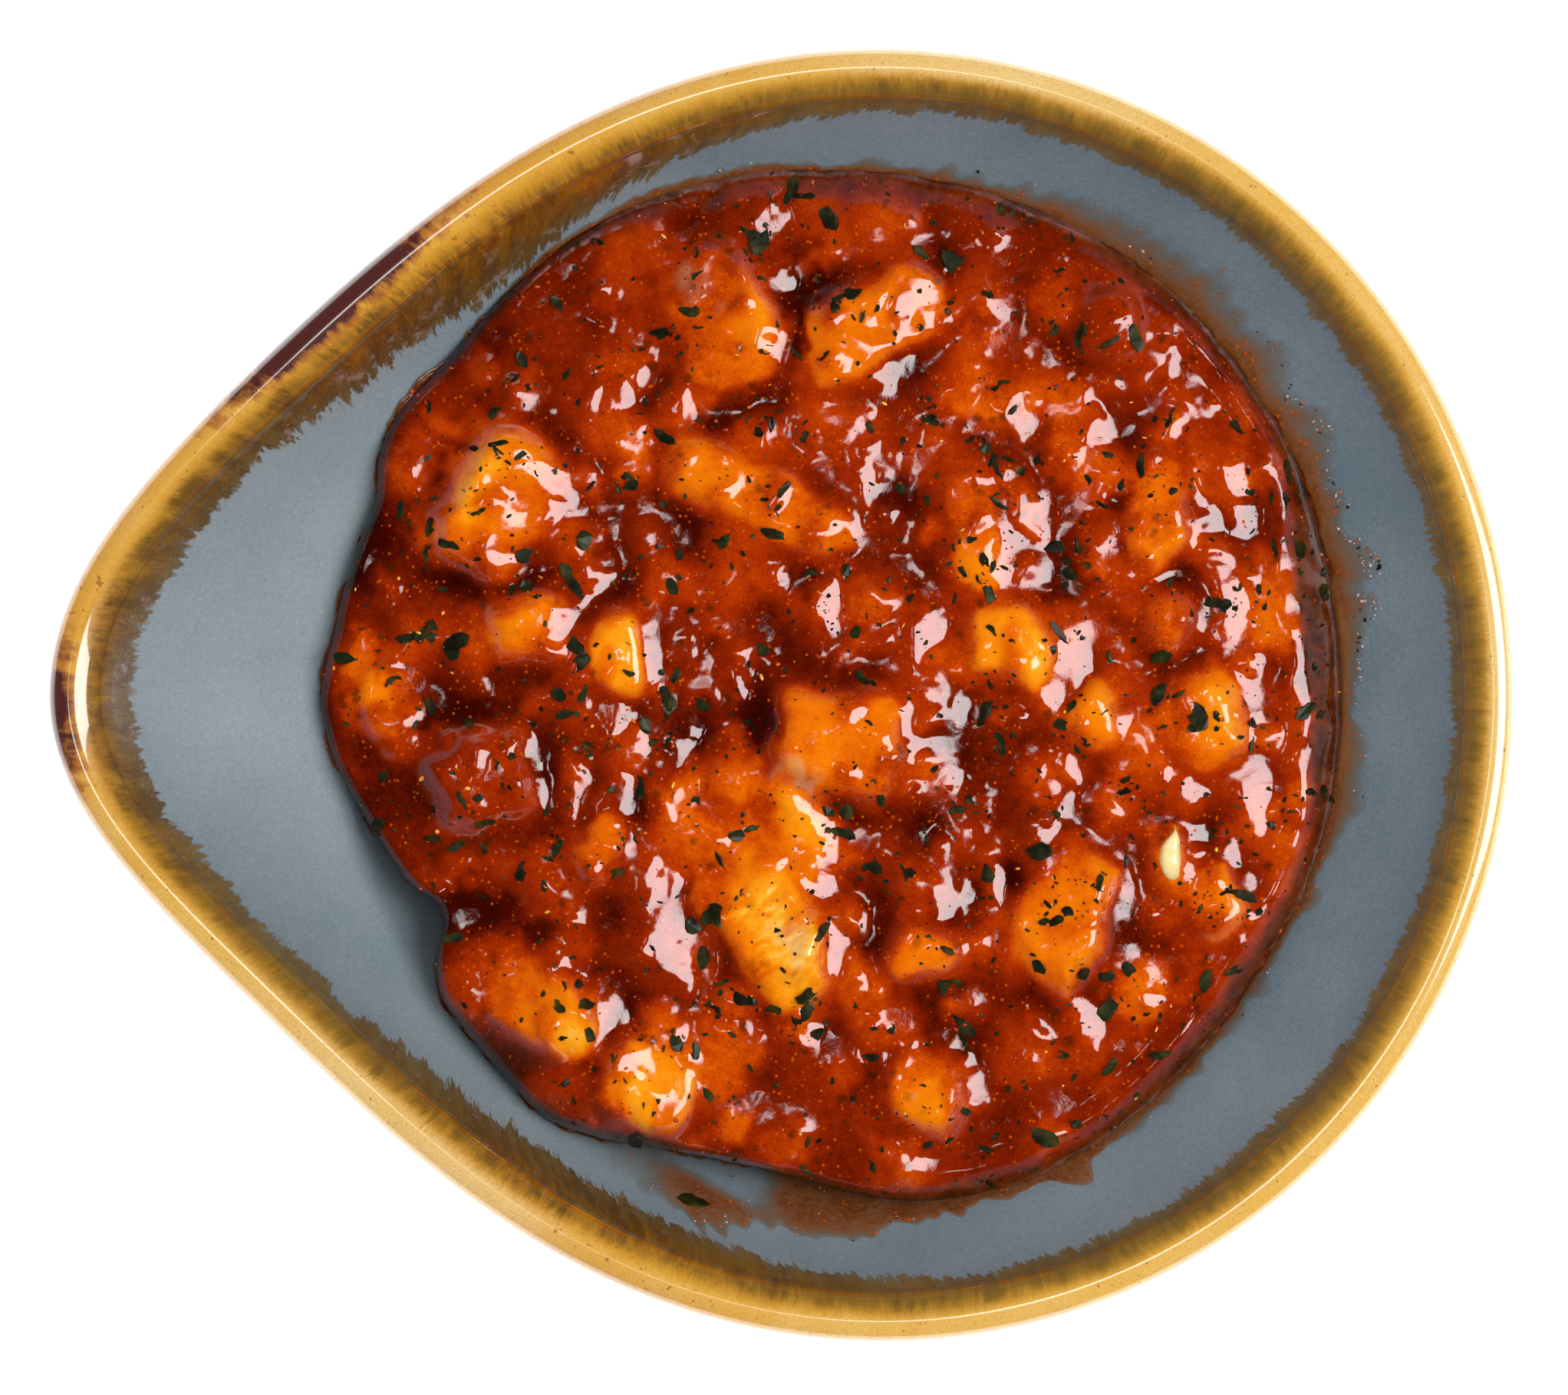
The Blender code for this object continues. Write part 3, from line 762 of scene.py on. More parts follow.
# Facets of the lumpy surface that face the window: x, y, length, width in millimetres, heading in degrees.
FACETS = (
    (-12.2, 22.7, 6.7, 2.6, 20), (-7.0, 22.1, 4.0, 2.6, -25), (-11.5, 20.7, 4.8, 1.2, -20),
    (-15.5, 18.9, 3.0, 1.5, -35), (-17.1, 16.5, 4.5, 2.0, -25), (-20.0, 18.4, 3.2, 1.0, -35),
    (-0.9, 37.0, 5.6, 3.4, 0), (-6.1, 38.4, 5.8, 1.4, -4), (-0.2, 32.5, 2.0, 2.3, 0),
    (10.3, 33.0, 6.5, 2.0, 12), (6.2, 30.6, 2.2, 0.9, 20), (7.9, 28.0, 8.0, 1.4, 15),
    (5.7, 25.7, 5.0, 2.0, 10), (8.8, 25.4, 5.4, 1.1, 40), (-0.4, 20.6, 4.4, 2.0, 25),
    (-2.3, 24.6, 2.4, 1.4, 60), (5.4, 20.6, 2.8, 1.2, -60), (18.6, 21.2, 4.8, 2.8, -50),
    (24.4, 20.5, 6.0, 1.6, -52), (24.0, 18.0, 3.0, 0.6, -58), (33.2, 25.6, 6.8, 2.2, -50),
    (35.0, 15.1, 6.8, 2.7, 92), (34.9, 6.8, 5.2, 4.4, 80), (30.4, 7.1, 3.4, 0.9, 40),
    (25.7, 12.1, 3.2, 2.4, -60), (25.3, 8.0, 2.8, 1.9, 60), (30.3, 13.6, 2.0, 1.4, 0),
    (18.9, 13.9, 3.6, 1.5, 20), (22.4, 1.3, 6.6, 2.4, 65), (32.6, -0.1, 3.6, 1.2, 60),
    (32.4, -3.5, 1.8, 1.0, 70), (21.7, -5.4, 2.0, 1.6, 0), (30.3, -6.5, 5.0, 1.4, -30),
    (36.5, -8.1, 4.6, 2.6, 100), (34.8, -12.1, 2.6, 2.2, 0), (31.8, -12.6, 2.2, 0.8, 45),
    (21.8, -13.0, 7.6, 2.2, -35), (23.6, -25.1, 4.8, 3.4, 70), (34.5, -21.2, 3.0, 0.7, 45),
    (12.8, -15.2, 5.0, 2.2, 0), (17.1, -20.4, 4.0, 2.2, 70), (16.8, -15.2, 3.4, 1.0, 85),
    (-8.2, -17.2, 13.5, 6.4, -66), (-15.2, -8.1, 3.6, 2.2, -70), (-12.2, -7.8, 4.6, 3.0, 60),
    (-13.1, -24.1, 4.6, 2.4, -35), (-10.4, -29.4, 7.6, 5.6, -20), (-15.6, 2.4, 5.5, 1.4, 70),
    (-10.8, 3.0, 3.6, 1.2, 38), (-11.8, -1.4, 3.8, 2.4, 30), (-20.1, 5.8, 2.2, 1.4, 30),
    (-22.8, 0.9, 1.9, 1.2, 10), (-23.7, -4.3, 3.4, 1.5, 80), (-7.4, -3.6, 4.0, 1.8, 30),
    (8.1, -1.4, 5.4, 4.0, 0), (3.8, 6.3, 4.2, 2.6, -60), (11.2, 4.5, 5.0, 2.2, 60),
    (-3.3, 1.3, 3.3, 1.2, 20), (-6.4, 3.9, 2.8, 1.5, -50), (13.9, -1.5, 2.4, 1.7, 90),
    (13.6, -6.1, 3.4, 1.5, -10), (13.3, 10.1, 2.4, 2.0, 60), (17.1, 9.1, 2.4, 1.5, -60),
    (4.4, 13.3, 3.6, 1.2, -50), (6.8, 16.2, 4.0, 1.2, 65), (1.5, -25.7, 2.6, 1.6, 0),
    (8.3, -27.2, 5.4, 1.6, 0), (-8.6, -8.4, 3.2, 2.2, 80),
)
# Dark pools between the lumps, where the sauce lies lower and deeper in colour and painted shade darkens it
# too: x, y, length, width, heading, and how dark.
POOLS = (
    (2.1, 31.0, 7.0, 3.4, 15, 1.0), (1.0, 27.4, 6.0, 1.6, 80, 0.9), (-31.4, 10.9, 9.0, 3.2, 75, 1.0),
    (-24.7, 8.8, 3.4, 2.4, 10, 0.7), (-27.0, -1.2, 3.4, 2.4, 30, 0.8), (-23.3, -16.2, 7.0, 5.4, -10, 1.0),
    (-18.7, -18.4, 5.0, 5.0, 0, 0.6), (-6.7, -1.6, 7.0, 4.4, 10, 0.7), (-2.0, -1.4, 6.0, 2.6, 80, 0.8),
    (8.6, 14.9, 6.0, 4.6, 50, 0.7), (13.6, -3.0, 6.4, 5.4, 0, 0.7), (11.5, -9.9, 7.0, 6.4, 0, 0.6),
    (1.8, 9.0, 4.0, 2.2, 0, 0.6), (15.9, 28.6, 9.0, 1.8, 12, 0.5), (40.2, 17.0, 10.0, 2.8, 112, 0.9),
    (41.0, 1.0, 26.0, 1.5, 92, 0.7), (11.5, -25.4, 3.6, 3.0, 0, 0.5), (-22.2, 26.5, 5.4, 3.0, 40, 0.5),
    (25.3, 14.8, 3.0, 2.2, 0, 0.6),
)
# Where more onion shines up through the sauce: x, y, length, width, heading, and how much.
AMBER = (
    (0.2, -12.5, 20.0, 10.0, -65, 0.20), (15.8, 5.2, 12.0, 8.0, -70, 0.16),
    (22.5, 0.0, 9.0, 7.0, -40, 0.16), (34.0, -1.0, 9.0, 7.0, -60, 0.15),
    (19.4, -17.6, 9.0, 8.0, 50, 0.12), (11.0, -30.8, 12.0, 5.0, 15, 0.14),
    (-17.8, -23.5, 13.0, 6.0, -45, 0.16), (-22.0, 17.0, 12.0, 9.0, -30, 0.14),
    (-7.0, 18.0, 15.0, 7.0, -22, 0.14), (18.2, 23.2, 14.0, 8.0, -25, 0.13),
    (29.6, 14.5, 9.0, 5.0, 75, 0.14), (-1.5, 30.0, 8.0, 5.0, 30, 0.12), (-32.2, 1.2, 7.0, 4.2, 75, 0.24),
    (28.0, -13.0, 11.0, 6.0, -20, 0.12), (-10.0, 27.0, 9.0, 7.0, 80, 0.12),
    (-24.8, 15.8, 11.0, 4.6, 62, 0.17), (-21.0, 6.0, 8.0, 6.0, 0, 0.10), (3.0, -24.0, 12.0, 5.0, 0, 0.10),
    (24.0, -27.0, 9.0, 5.0, 60, 0.10), (0.5, -8.5, 9.0, 6.0, -40, 0.12),
)
# Where the bare onion looks ashen through the sauce: x, y, length, width, heading, and how much.
ASHEN = ((1.4, -6.2, 4.4, 2.2, -30, 0.75), (-6.7, 31.2, 4.0, 3.2, 0, 0.45), (1.1, -18.3, 4.0, 6.4, 0, 0.55))
# Where the fibres of the long slice show, and the heading across them.
FIBRES = (-0.6, -18.4, 29)
# Where the herbs lie thickest.
HERB_CLUSTERS = (
    (-11.7, 16.5), (-8.7, -2.8), (1.8, 19.2), (10.6, 21.5), (-5.2, -23.7), (22.4, 10.7), (4.2, -10.8),
    (11.5, -9.9), (15.5, 19.5), (-1.6, 34.6), (4.0, 36.0), (18.2, 36.8), (-27.0, 4.6), (-13.5, -3.9),
    (5.4, -13.0), (20.6, -16.6),
)
field_side = np.arange(-FIELD_HALF, FIELD_HALF + FIELD_STEP / 2, FIELD_STEP)
field_x, field_y = np.meshgrid(field_side + WELL_CENTRE, field_side)


def blurred(field, radius):
    """The field smoothed over this radius."""
    pace_y = np.fft.fftfreq(field.shape[0], FIELD_STEP)[:, None]
    pace_x = np.fft.rfftfreq(field.shape[1], FIELD_STEP)[None]
    pull = np.exp(-2 * (np.pi * radius) ** 2 * (pace_y**2 + pace_x**2))
    return np.fft.irfft2(np.fft.rfft2(field) * pull, field.shape)


def read_field(field, x, y):
    """The field's value at each point, between its cells."""
    column = np.clip((x - WELL_CENTRE + FIELD_HALF) / FIELD_STEP, 0, len(field_side) - 1.001)
    row = np.clip((y + FIELD_HALF) / FIELD_STEP, 0, len(field_side) - 1.001)
    c, r = column.astype(int), row.astype(int)
    u, v = column - c, row - r
    low = field[r, c] * (1 - u) + field[r, c + 1] * u
    high = field[r + 1, c] * (1 - u) + field[r + 1, c + 1] * u
    return low * (1 - v) + high * v


def round_table(turn, table):
    """A smooth value at each angle from (degrees, value) pairs given once round."""
    fine = np.arange(0, 360, 0.5)
    degrees, values = zip(*table)
    even = np.interp(fine, degrees, values, period=360)
    pull = np.exp(-2 * (np.pi * 1.3 * np.fft.rfftfreq(len(fine), 0.5)) ** 2)
    even = np.fft.irfft(np.fft.rfft(even) * pull, len(fine))
    return np.interp(np.degrees(turn) % 360, fine, even, period=360)


def within(turn, start, stop, soft):
    """1 between two angles in degrees, easing to 0 over the soft margin outside them."""
    middle, half = (start + stop) / 2, (stop - start) / 2
    off = np.abs(np.mod(np.degrees(turn) - middle + 180, 360) - 180)
    return 1 - eased((off - half) / soft)


def pool_radius(turn):
    """The sauce's edge round the well's centre."""
    x, y = 39 * np.cos(turn), 39 * np.sin(turn)
    return round_table(turn, SAUCE_EDGE) + 0.12 * waves(x, y, 4.0, 5) + 0.05 * waves(x, y, 1.3, 6)


def wall_share(turn, radius):
    """How far out in the well the point at this distance from its centre lies."""
    low, high = np.full_like(turn, 0.4), np.ones_like(turn)
    for _ in range(26):
        middle = (low + high) / 2
        away = well_point(turn, middle)[..., :2] - (WELL_CENTRE, 0)
        inside = np.hypot(away[..., 0], away[..., 1]) < radius
        low, high = np.where(inside, middle, low), np.where(inside, high, middle)
    return low


def on_wall(turn, radius):
    """The place on the glaze at this distance from the well's centre, and the normal there."""
    share = wall_share(turn, radius)
    return well_point(turn, share), well_normal(turn, share)


def wandering(seed):
    """How far the edge of an oval wanders at each cell, in swells of three sizes."""
    swells = ((4.2, 0.5), (1.6, 0.28), (0.8, 0.12))
    return sum(far * waves(field_x, field_y, size, seed + k) for k, (size, far) in enumerate(swells))


warp_x, warp_y = wandering(21), wandering(31)


def oval(x, y, length, width, heading, warp=1.0):
    """Each cell's distance from an uneven oval's middle, in half lengths: 1 at its edge."""
    a = math.radians(heading)
    across, up = field_x + warp * warp_x - x, field_y + warp * warp_y - y
    along = (across * math.cos(a) + up * math.sin(a)) / (length / 2)
    side = (up * math.cos(a) - across * math.sin(a)) / (width / 2)
    return (np.abs(along) ** 2.6 + np.abs(side) ** 2.6) ** (1 / 2.6)


def patch(place, full, fade, warp=1.0):
    """1 over the inner share full of an uneven oval, easing to 0 over the share fade beyond it."""
    return 1 - eased((oval(*place, warp) - full) / fade)


def ray_tree(piece):
    """The piece's mesh, ready for rays to be cast at it."""
    corners = [v.co for v in piece.data.vertices]
    return BVHTree.FromPolygons(corners, [p.vertices for p in piece.data.polygons])


def onion_field():
    """How high the onion reaches over each cell, how pale it is, its coat, and what hides it besides."""
    height = np.full(field_x.shape, NOTHING)
    pale, coat, veil = np.full(field_x.shape, 0.35), np.full(field_x.shape, 0.35), np.zeros(field_x.shape)
    down = Vector((0, 0, -1))
    for piece in onions:
        tree = ray_tree(piece)
        low, high = (Vector(c) / MM for c in (piece.bound_box[0], piece.bound_box[6]))
        inside = (field_x > low.x) & (field_x < high.x) & (field_y > low.y) & (field_y < high.y)
        paleness, crown, heading, sink = ONION_LOOKS[piece.name.removesuffix("_flesh")]
        a = math.radians(heading)
        middle = (low + high) / 2
        reach = abs((high.x - low.x) * math.cos(a)) + abs((high.y - low.y) * math.sin(a))
        for r, c in zip(*np.nonzero(inside)):
            hit = tree.ray_cast(Vector((field_x[r, c] * MM, field_y[r, c] * MM, 0.05)), down)[0]
            if hit and hit.z / MM > height[r, c]:
                height[r, c] = hit.z / MM
                pale[r, c], coat[r, c] = paleness, crown
                ahead = (field_x[r, c] - middle.x) * math.cos(a) + (field_y[r, c] - middle.y) * math.sin(a)
                veil[r, c] = sink * min(max(0.45 + ahead / reach, 0), 1) ** 1.5
    return height, pale, coat, veil


def bury_chunks(solid, coat, veil, pale, level):
    """Chopped pieces that lie under the sauce and lift it."""
    draw = np.random.default_rng(41)
    for number in range(BURIED):
        away, turn = 37.5 * math.sqrt(draw.uniform(0, 1)), draw.uniform(0, 2 * np.pi)
        x, y = WELL_CENTRE + away * math.cos(turn), away * math.sin(turn)
        length = draw.uniform(3.4, 9.0) if number < LARGE_BURIED else draw.uniform(1.3, 3.2)
        width = length * draw.uniform(0.45, 0.85)
        far = oval(x, y, length, width, draw.uniform(0, 180), 0.6)
        crown, lean_x, lean_y = draw.uniform(-0.4, 0.45), draw.normal(0, 0.13), draw.normal(0, 0.13)
        drop = min(1.6, 0.4 * length) * (1 - (1 - np.minimum(far, 1) ** 3) ** (1 / 2.2))
        top = level + crown + lean_x * (field_x - x) + lean_y * (field_y - y) - drop
        top = np.where(far < 1, top, NOTHING)
        a, depth = draw.uniform(0, 2 * np.pi), draw.uniform(0.1, 1.1)
        ahead = ((field_x - x) * math.cos(a) + (field_y - y) * math.sin(a)) / length
        hides = depth * np.clip(0.5 + ahead, 0, 1) + draw.uniform(0, 0.4)
        higher = top > solid
        coat = np.where(higher, draw.uniform(0.1, 0.3), coat)
        veil = np.where(higher, hides, veil)
        pale = np.where(higher, draw.uniform(0.15, 0.62), pale)
        solid = np.maximum(solid, top)
    return solid, coat, veil, pale


def draped(solid, level):
    """A skin that rests on whatever stands up and banks down to the level between."""
    skin = np.maximum(solid, level)
    for _ in range(DRAPE_ROUNDS):
        skin = blurred(skin, DRAPE_REACH)
        skin = np.maximum(skin + DRAPE_PULL * (level - skin), solid)
    return blurred(skin, 0.11)


def faceted(skin):
    """The skin leant over at each facet, and eased back into itself round about."""
    lit = np.zeros_like(skin)
    for place in FACETS:
        lit = np.maximum(lit, patch(place, 0.52, 0.36))
    pace_y = 2 * np.pi * np.fft.fftfreq(skin.shape[0], FIELD_STEP)[:, None]
    pace_x = 2 * np.pi * np.fft.rfftfreq(skin.shape[1], FIELD_STEP)[None]
    start = np.fft.rfft2(skin)
    rest_y, rest_x = np.gradient(skin, FIELD_STEP)
    shape = skin
    more_x, more_y = np.zeros_like(skin), np.zeros_like(skin)
    for _ in range(FACET_ROUNDS):
        slope_y, slope_x = np.gradient(shape, FIELD_STEP)
        more_x = np.clip(more_x + 0.22 * lit * (-LEAN - slope_x), -0.2, 0.2)
        more_y = np.clip(more_y - 0.22 * lit * slope_y, -0.2, 0.2)
        slope_x = lit * (more_x - LEAN) + (1 - lit) * (0.6 * slope_x + 0.4 * rest_x)
        slope_y = lit * more_y + (1 - lit) * (0.6 * slope_y + 0.4 * rest_y)
        push = -1j * (pace_x * np.fft.rfft2(slope_x) + pace_y * np.fft.rfft2(slope_y))
        push = (push + FACET_HOLD * start) / (pace_x**2 + pace_y**2 + FACET_HOLD)
        shape = np.fft.irfft2(push, skin.shape)
    return shape


def fibres():
    """How much paler the bare fibres of the long slice look than the sauce over it."""
    x, y, heading = FIBRES
    a = math.radians(heading)
    across = (field_x - x) * math.cos(a) + (field_y - y) * math.sin(a)
    along = (field_y - y) * math.cos(a) - (field_x - x) * math.sin(a)
    spot = np.exp(-((across / 3.4) ** 4) - ((along / 4.6) ** 4))
    stripes = np.sin(along / 0.15 + 1.3 * waves(field_x, field_y, 2.4, 71))
    stripes = stripes * np.clip(waves(field_x, field_y, 1.8, 72), -0.4, 1.2)
    return spot * (0.16 + 0.11 * stripes)


def sauce_fields():
    """The sauce's height; its tone, from the onion shining through it, with painted shade in hollows, pools
    and on slopes facing away from the window; and where the onion looks ashen.
    """
    onion, pale, onion_coat, veil = onion_field()
    away = np.hypot(field_x - WELL_CENTRE, field_y)
    level = POOL_LEVEL - 0.10 + MOUND_RISE * (1 - np.minimum(away / POOL_RADIUS, 1.1) ** 2)
    level = level + 0.18 * waves(field_x, field_y, 7.0, 11)
    dark = np.zeros_like(level)
    for *place, depth in POOLS:
        dark = np.maximum(dark, depth * patch(place, 0.2, 1.0, 0.9))
    level = level - 0.45 * blurred(dark, 0.5)
    veil = veil + (onion > 0) * 0.55 * np.clip(waves(field_x, field_y, 3.2, 13) - 0.35, 0, 1.2)
    solid, coat, veil, pale = bury_chunks(onion, onion_coat, veil, pale, level)
    solid = np.where((dark > 0.5) & (onion < 0), NOTHING, solid)
    skin = faceted(draped(solid + coat + 0.5 * veil, level))
    wet = np.where((onion > 0) & (onion_coat >= 0), onion + onion_coat * 0.6 + 0.04, NOTHING)
    skin = skin + 1.3 * blurred(np.maximum(wet - skin, 0), 0.27)
    skin = skin + 0.014 * waves(field_x, field_y, 1.6, 8) + 0.005 * waves(field_x, field_y, 0.8, 12)
    thick = np.clip(skin - np.maximum(solid, level - 3), 0, 4) + np.where(solid > 0, 0.5 * veil, 0)
    shine = np.exp(-thick / 0.60) * (0.35 + 0.65 * pale)
    tone = 0.205 + 0.45 * blurred(shine, 0.13) + 0.34 * blurred(shine, 0.85) + fibres()
    slope_x = np.gradient(blurred(skin, 0.5), FIELD_STEP)[1]
    for *place, amount in AMBER:
        tone = tone + 0.95 * amount * patch(place, 0.4, 0.85, 1.2)
    # Painted shade and light: darker in the hollows, darker on slopes that face away from the window at the
    # right, lighter on slopes that face it.
    hollow_shade = np.clip(blurred(skin, 1.6) - blurred(skin, 0.3), 0, 0.5)
    tone = tone - 0.50 * hollow_shade - 0.09 * np.clip(slope_x, -0.5, 1)
    ashen = np.zeros_like(tone)
    for *place, amount in ASHEN:
        ashen = np.maximum(ashen, amount * patch(place, 0.2, 0.8))
    # The pools darken the tone, partly as painted shade.
    return skin, tone * (1 - 0.85 * dark) + 0.03 * dark, ashen


def disc_grid(cells):
    """A square grid pulled round into a disc: each point's share of the radius, and its angle."""
    side = np.linspace(-1, 1, cells + 1)
    a, b = np.meshgrid(side, side)
    wide = np.abs(a) > np.abs(b)
    share = np.where(wide, np.abs(a), np.abs(b))
    safe_a, safe_b = np.where(a == 0, 1, a), np.where(b == 0, 1, b)
    turn_wide = np.pi / 4 * b / safe_a + np.where(a < 0, np.pi, 0)
    turn_tall = np.pi / 2 - np.pi / 4 * a / safe_b + np.where(b < 0, np.pi, 0)
    return share, np.where(share == 0, 0, np.where(wide, turn_wide, turn_tall))


def edge_loop(cells):
    """The grid's outermost points, in order round it."""
    n = cells + 1
    bottom, right = range(n), (k * n + cells for k in range(1, n))
    top, left = (cells * n + k for k in range(cells - 1, -1, -1)), (k * n for k in range(cells - 1, 0, -1))
    return [*bottom, *right, *top, *left]


def rolled_edge(turn, run, from_mean, level, wall):
    """The sauce's height near its edge, and where it creases against the wall.

    It has a round shoulder, and at the right a long slope down to the wall.
    """
    at_right, at_top = within(turn, -62, 38, 24), within(turn, 66, 100, 24)
    film = 0.06 * (1 - np.exp(-run / 0.2)) - 0.05
    past = np.clip(1 - from_mean / (1.0 + 1.7 * at_top + 0.5 * at_right), 0, 1)
    rounded = level - (level - wall - film) * (1 - np.sqrt(1 - past**2))
    roll_in, soft = round_table(turn, ROLL_IN), 0.55
    ramped = level - ROLL_DROP / roll_in * soft * np.logaddexp(0, (roll_in - from_mean) / soft)
    shoulder = rounded + (ramped - rounded) * at_right
    blend = 0.3 - 0.22 * np.maximum(at_right, at_top)
    apart = shoulder - wall - film
    gap = np.clip(1 - np.abs(apart) / blend, 0, 1)
    crease = bell(apart, 0, 0.6) * np.maximum(at_right, at_top)
    return np.maximum(shoulder, wall + film) + blend / 4 * gap**2 * (run > 0), crease


def sauce_material():
    sauce = Finish("spiced_sauce", IOR=1.62, Coat_IOR=1.6, Coat_Roughness=0.03)
    tone = sauce.number("tone")
    pulp = sauce.noise(0.24 * MM, 4, 0.75) - 0.5
    curd = sauce.noise(0.9 * MM, 4, 0.65) - 0.5
    blot = sauce.noise(3.6 * MM, 3) - 0.5
    bare = tone.step(0.42, 0.74)
    grain = (pulp * 0.80 + curd * 0.55) * (1 - bare * 0.78) + blot * 0.34
    tone = tone + grain * (tone * 0.9 + 0.10)
    colour = sauce.ramp(
        tone.clamped(),
        (0.00, (0.018, 0.0009, 0.0001)),
        (0.08, (0.060, 0.0026, 0.0001)),
        (0.18, (0.190, 0.0108, 0.0002)),
        (0.27, (0.300, 0.0190, 0.0003)),
        (0.38, (0.430, 0.0365, 0.0003)),
        (0.50, (0.600, 0.0790, 0.0004)),
        (0.62, (0.740, 0.1380, 0.0006)),
        (0.74, (0.830, 0.2150, 0.0015)),
        (0.86, (0.910, 0.3400, 0.0090)),
        (1.00, (0.960, 0.5600, 0.1100)),
    )
    ashen = sauce.number("ashen") * (pulp + curd + 0.75).clamped()
    colour = sauce.mix(ashen, colour, (0.50, 0.27, 0.125))
    grains = sauce.specks(0.55 * MM)
    lit = (1 - grains.step(0.10, 0.30)) * sauce.noise(1.3 * MM, 2).step(0.46, 0.60)
    colour = sauce.mix(lit * 0.6, colour, (0.76, 0.115, 0.0006))
    flecks = sauce.specks(1.5 * MM)
    wobble = sauce.noise(0.5 * MM, 3, 0.6) * 0.5
    sunk = (1 - (flecks + wobble).step(0.38, 0.62)) * sauce.noise(3.1 * MM, 2).step(0.50, 0.64)
    colour = sauce.mix(sunk * (0.62 - bare * 0.40), colour, (0.040, 0.0090, 0.0010))
    edge, brown, crease = sauce.number("edge"), sauce.number("thin"), sauce.number("crease")
    # Painted shade: the sauce's edge is darkened nearly to black, most widely at the left, where it faces
    # away from the window.
    colour = sauce.mix(edge, colour, (0.010, 0.0010, 0.0003))
    apron = sauce.ramp(
        curd + blot + 0.5,
        (0.3, (0.040, 0.0080, 0.0008)),
        (0.7, (0.165, 0.0290, 0.0016)),
    )
    colour = sauce.mix((brown + (curd + pulp) * 0.7 * brown).clamped(), colour, apron)
    # Painted shade in the crease where the sauce meets the wall.
    colour = sauce.mix(crease * 0.25, colour, (0.075, 0.0140, 0.0010))
    coarse = sauce.noise(2.2 * MM, 2).step(0.46, 0.60) * 0.8 + 0.2
    fine = sauce.bump(sauce.noise(0.42 * MM, 4, 0.66) * (coarse + crease * 3.5), 0.026 * MM, 1.0)
    coat = 0.5 - (crease + edge).clamped() * 0.5
    sauce.set(Base_Color=colour, Roughness=0.06 + crease * 0.60, Coat_Weight=coat, Normal=fine)
    return sauce.material


def herb_spread(x, y):
    """How thickly the herbs lie, 1 on average."""
    spread = 0.55 + 0.9 * np.clip(waves(x, y, 6.0, 51), 0, 2)
    for a, b in HERB_CLUSTERS:
        spread = spread + 7 * np.exp(-((x - a) ** 2 + (y - b) ** 2) / 1.1**2)
    return spread


def sauce_top(height, share, turn, rim):
    """The points of the sauce's top, and how it creases against the wall at each."""
    run = (1 - share) * rim
    x = WELL_CENTRE + share * rim * np.cos(turn)
    y = share * rim * np.sin(turn)
    level = read_field(height, x, y)
    near_wall = run < NEAR_WALL
    wall = np.full_like(x, 10.0)
    wall[near_wall] = on_wall(turn[near_wall], (rim - run)[near_wall])[0][..., 2]
    from_mean = run + round_table(turn, SAUCE_EDGE) - rim
    calm = within(turn, -66, 46, 20) * (1 - eased((from_mean - round_table(turn, ROLL_IN) - 0.3) / 1.6))
    even = POOL_LEVEL + 1.15 + 0.12 * waves(x, y, 6.0, 17) + 0.04 * waves(x, y, 2.6, 18)
    level = level + calm * (0.15 * read_field(blurred(height, 2.2), x, y) + 0.85 * even - level)
    edge_height, crease = rolled_edge(turn, run, from_mean, level, wall)
    return np.stack([x, y, edge_height], -1), crease


def sauce_mesh(top, turn, rim):
    """The closed mesh of the sauce: its top, and its underside along the glaze to the floor."""
    n = SAUCE_CELLS + 1
    cell = (np.arange(SAUCE_CELLS)[:, None] * n + np.arange(SAUCE_CELLS)[None]).ravel()
    faces = np.stack([cell, cell + 1, cell + n + 1, cell + n], -1).tolist()
    loop = np.array(edge_loop(SAUCE_CELLS))
    edge_share = wall_share(turn[loop], rim[loop])
    points, last = [top], loop
    for k in range(1, SAUCE_UNDER_ROWS + 1):
        shares = edge_share * math.cos(math.pi / 2 * k / (SAUCE_UNDER_ROWS + 0.4))
        points.append(well_point(turn[loop], shares) - BEDDING * well_normal(turn[loop], shares))
        here = len(top) + (k - 1) * len(loop) + np.arange(len(loop))
        faces += np.stack([last, here, np.roll(here, -1), np.roll(last, -1)], -1).tolist()
        last = here
    points.append(np.array([[WELL_CENTRE, 0, FLOOR_HEIGHT - BEDDING]]))
    bottom = sum(len(p) for p in points) - 1
    faces += [(a, bottom, b) for a, b in zip(last.tolist(), np.roll(last, -1).tolist())]
    mesh = bpy.data.meshes.new("sauce_surface")
    mesh.from_pydata((np.concatenate(points) * MM).tolist(), [], faces)
    return mesh


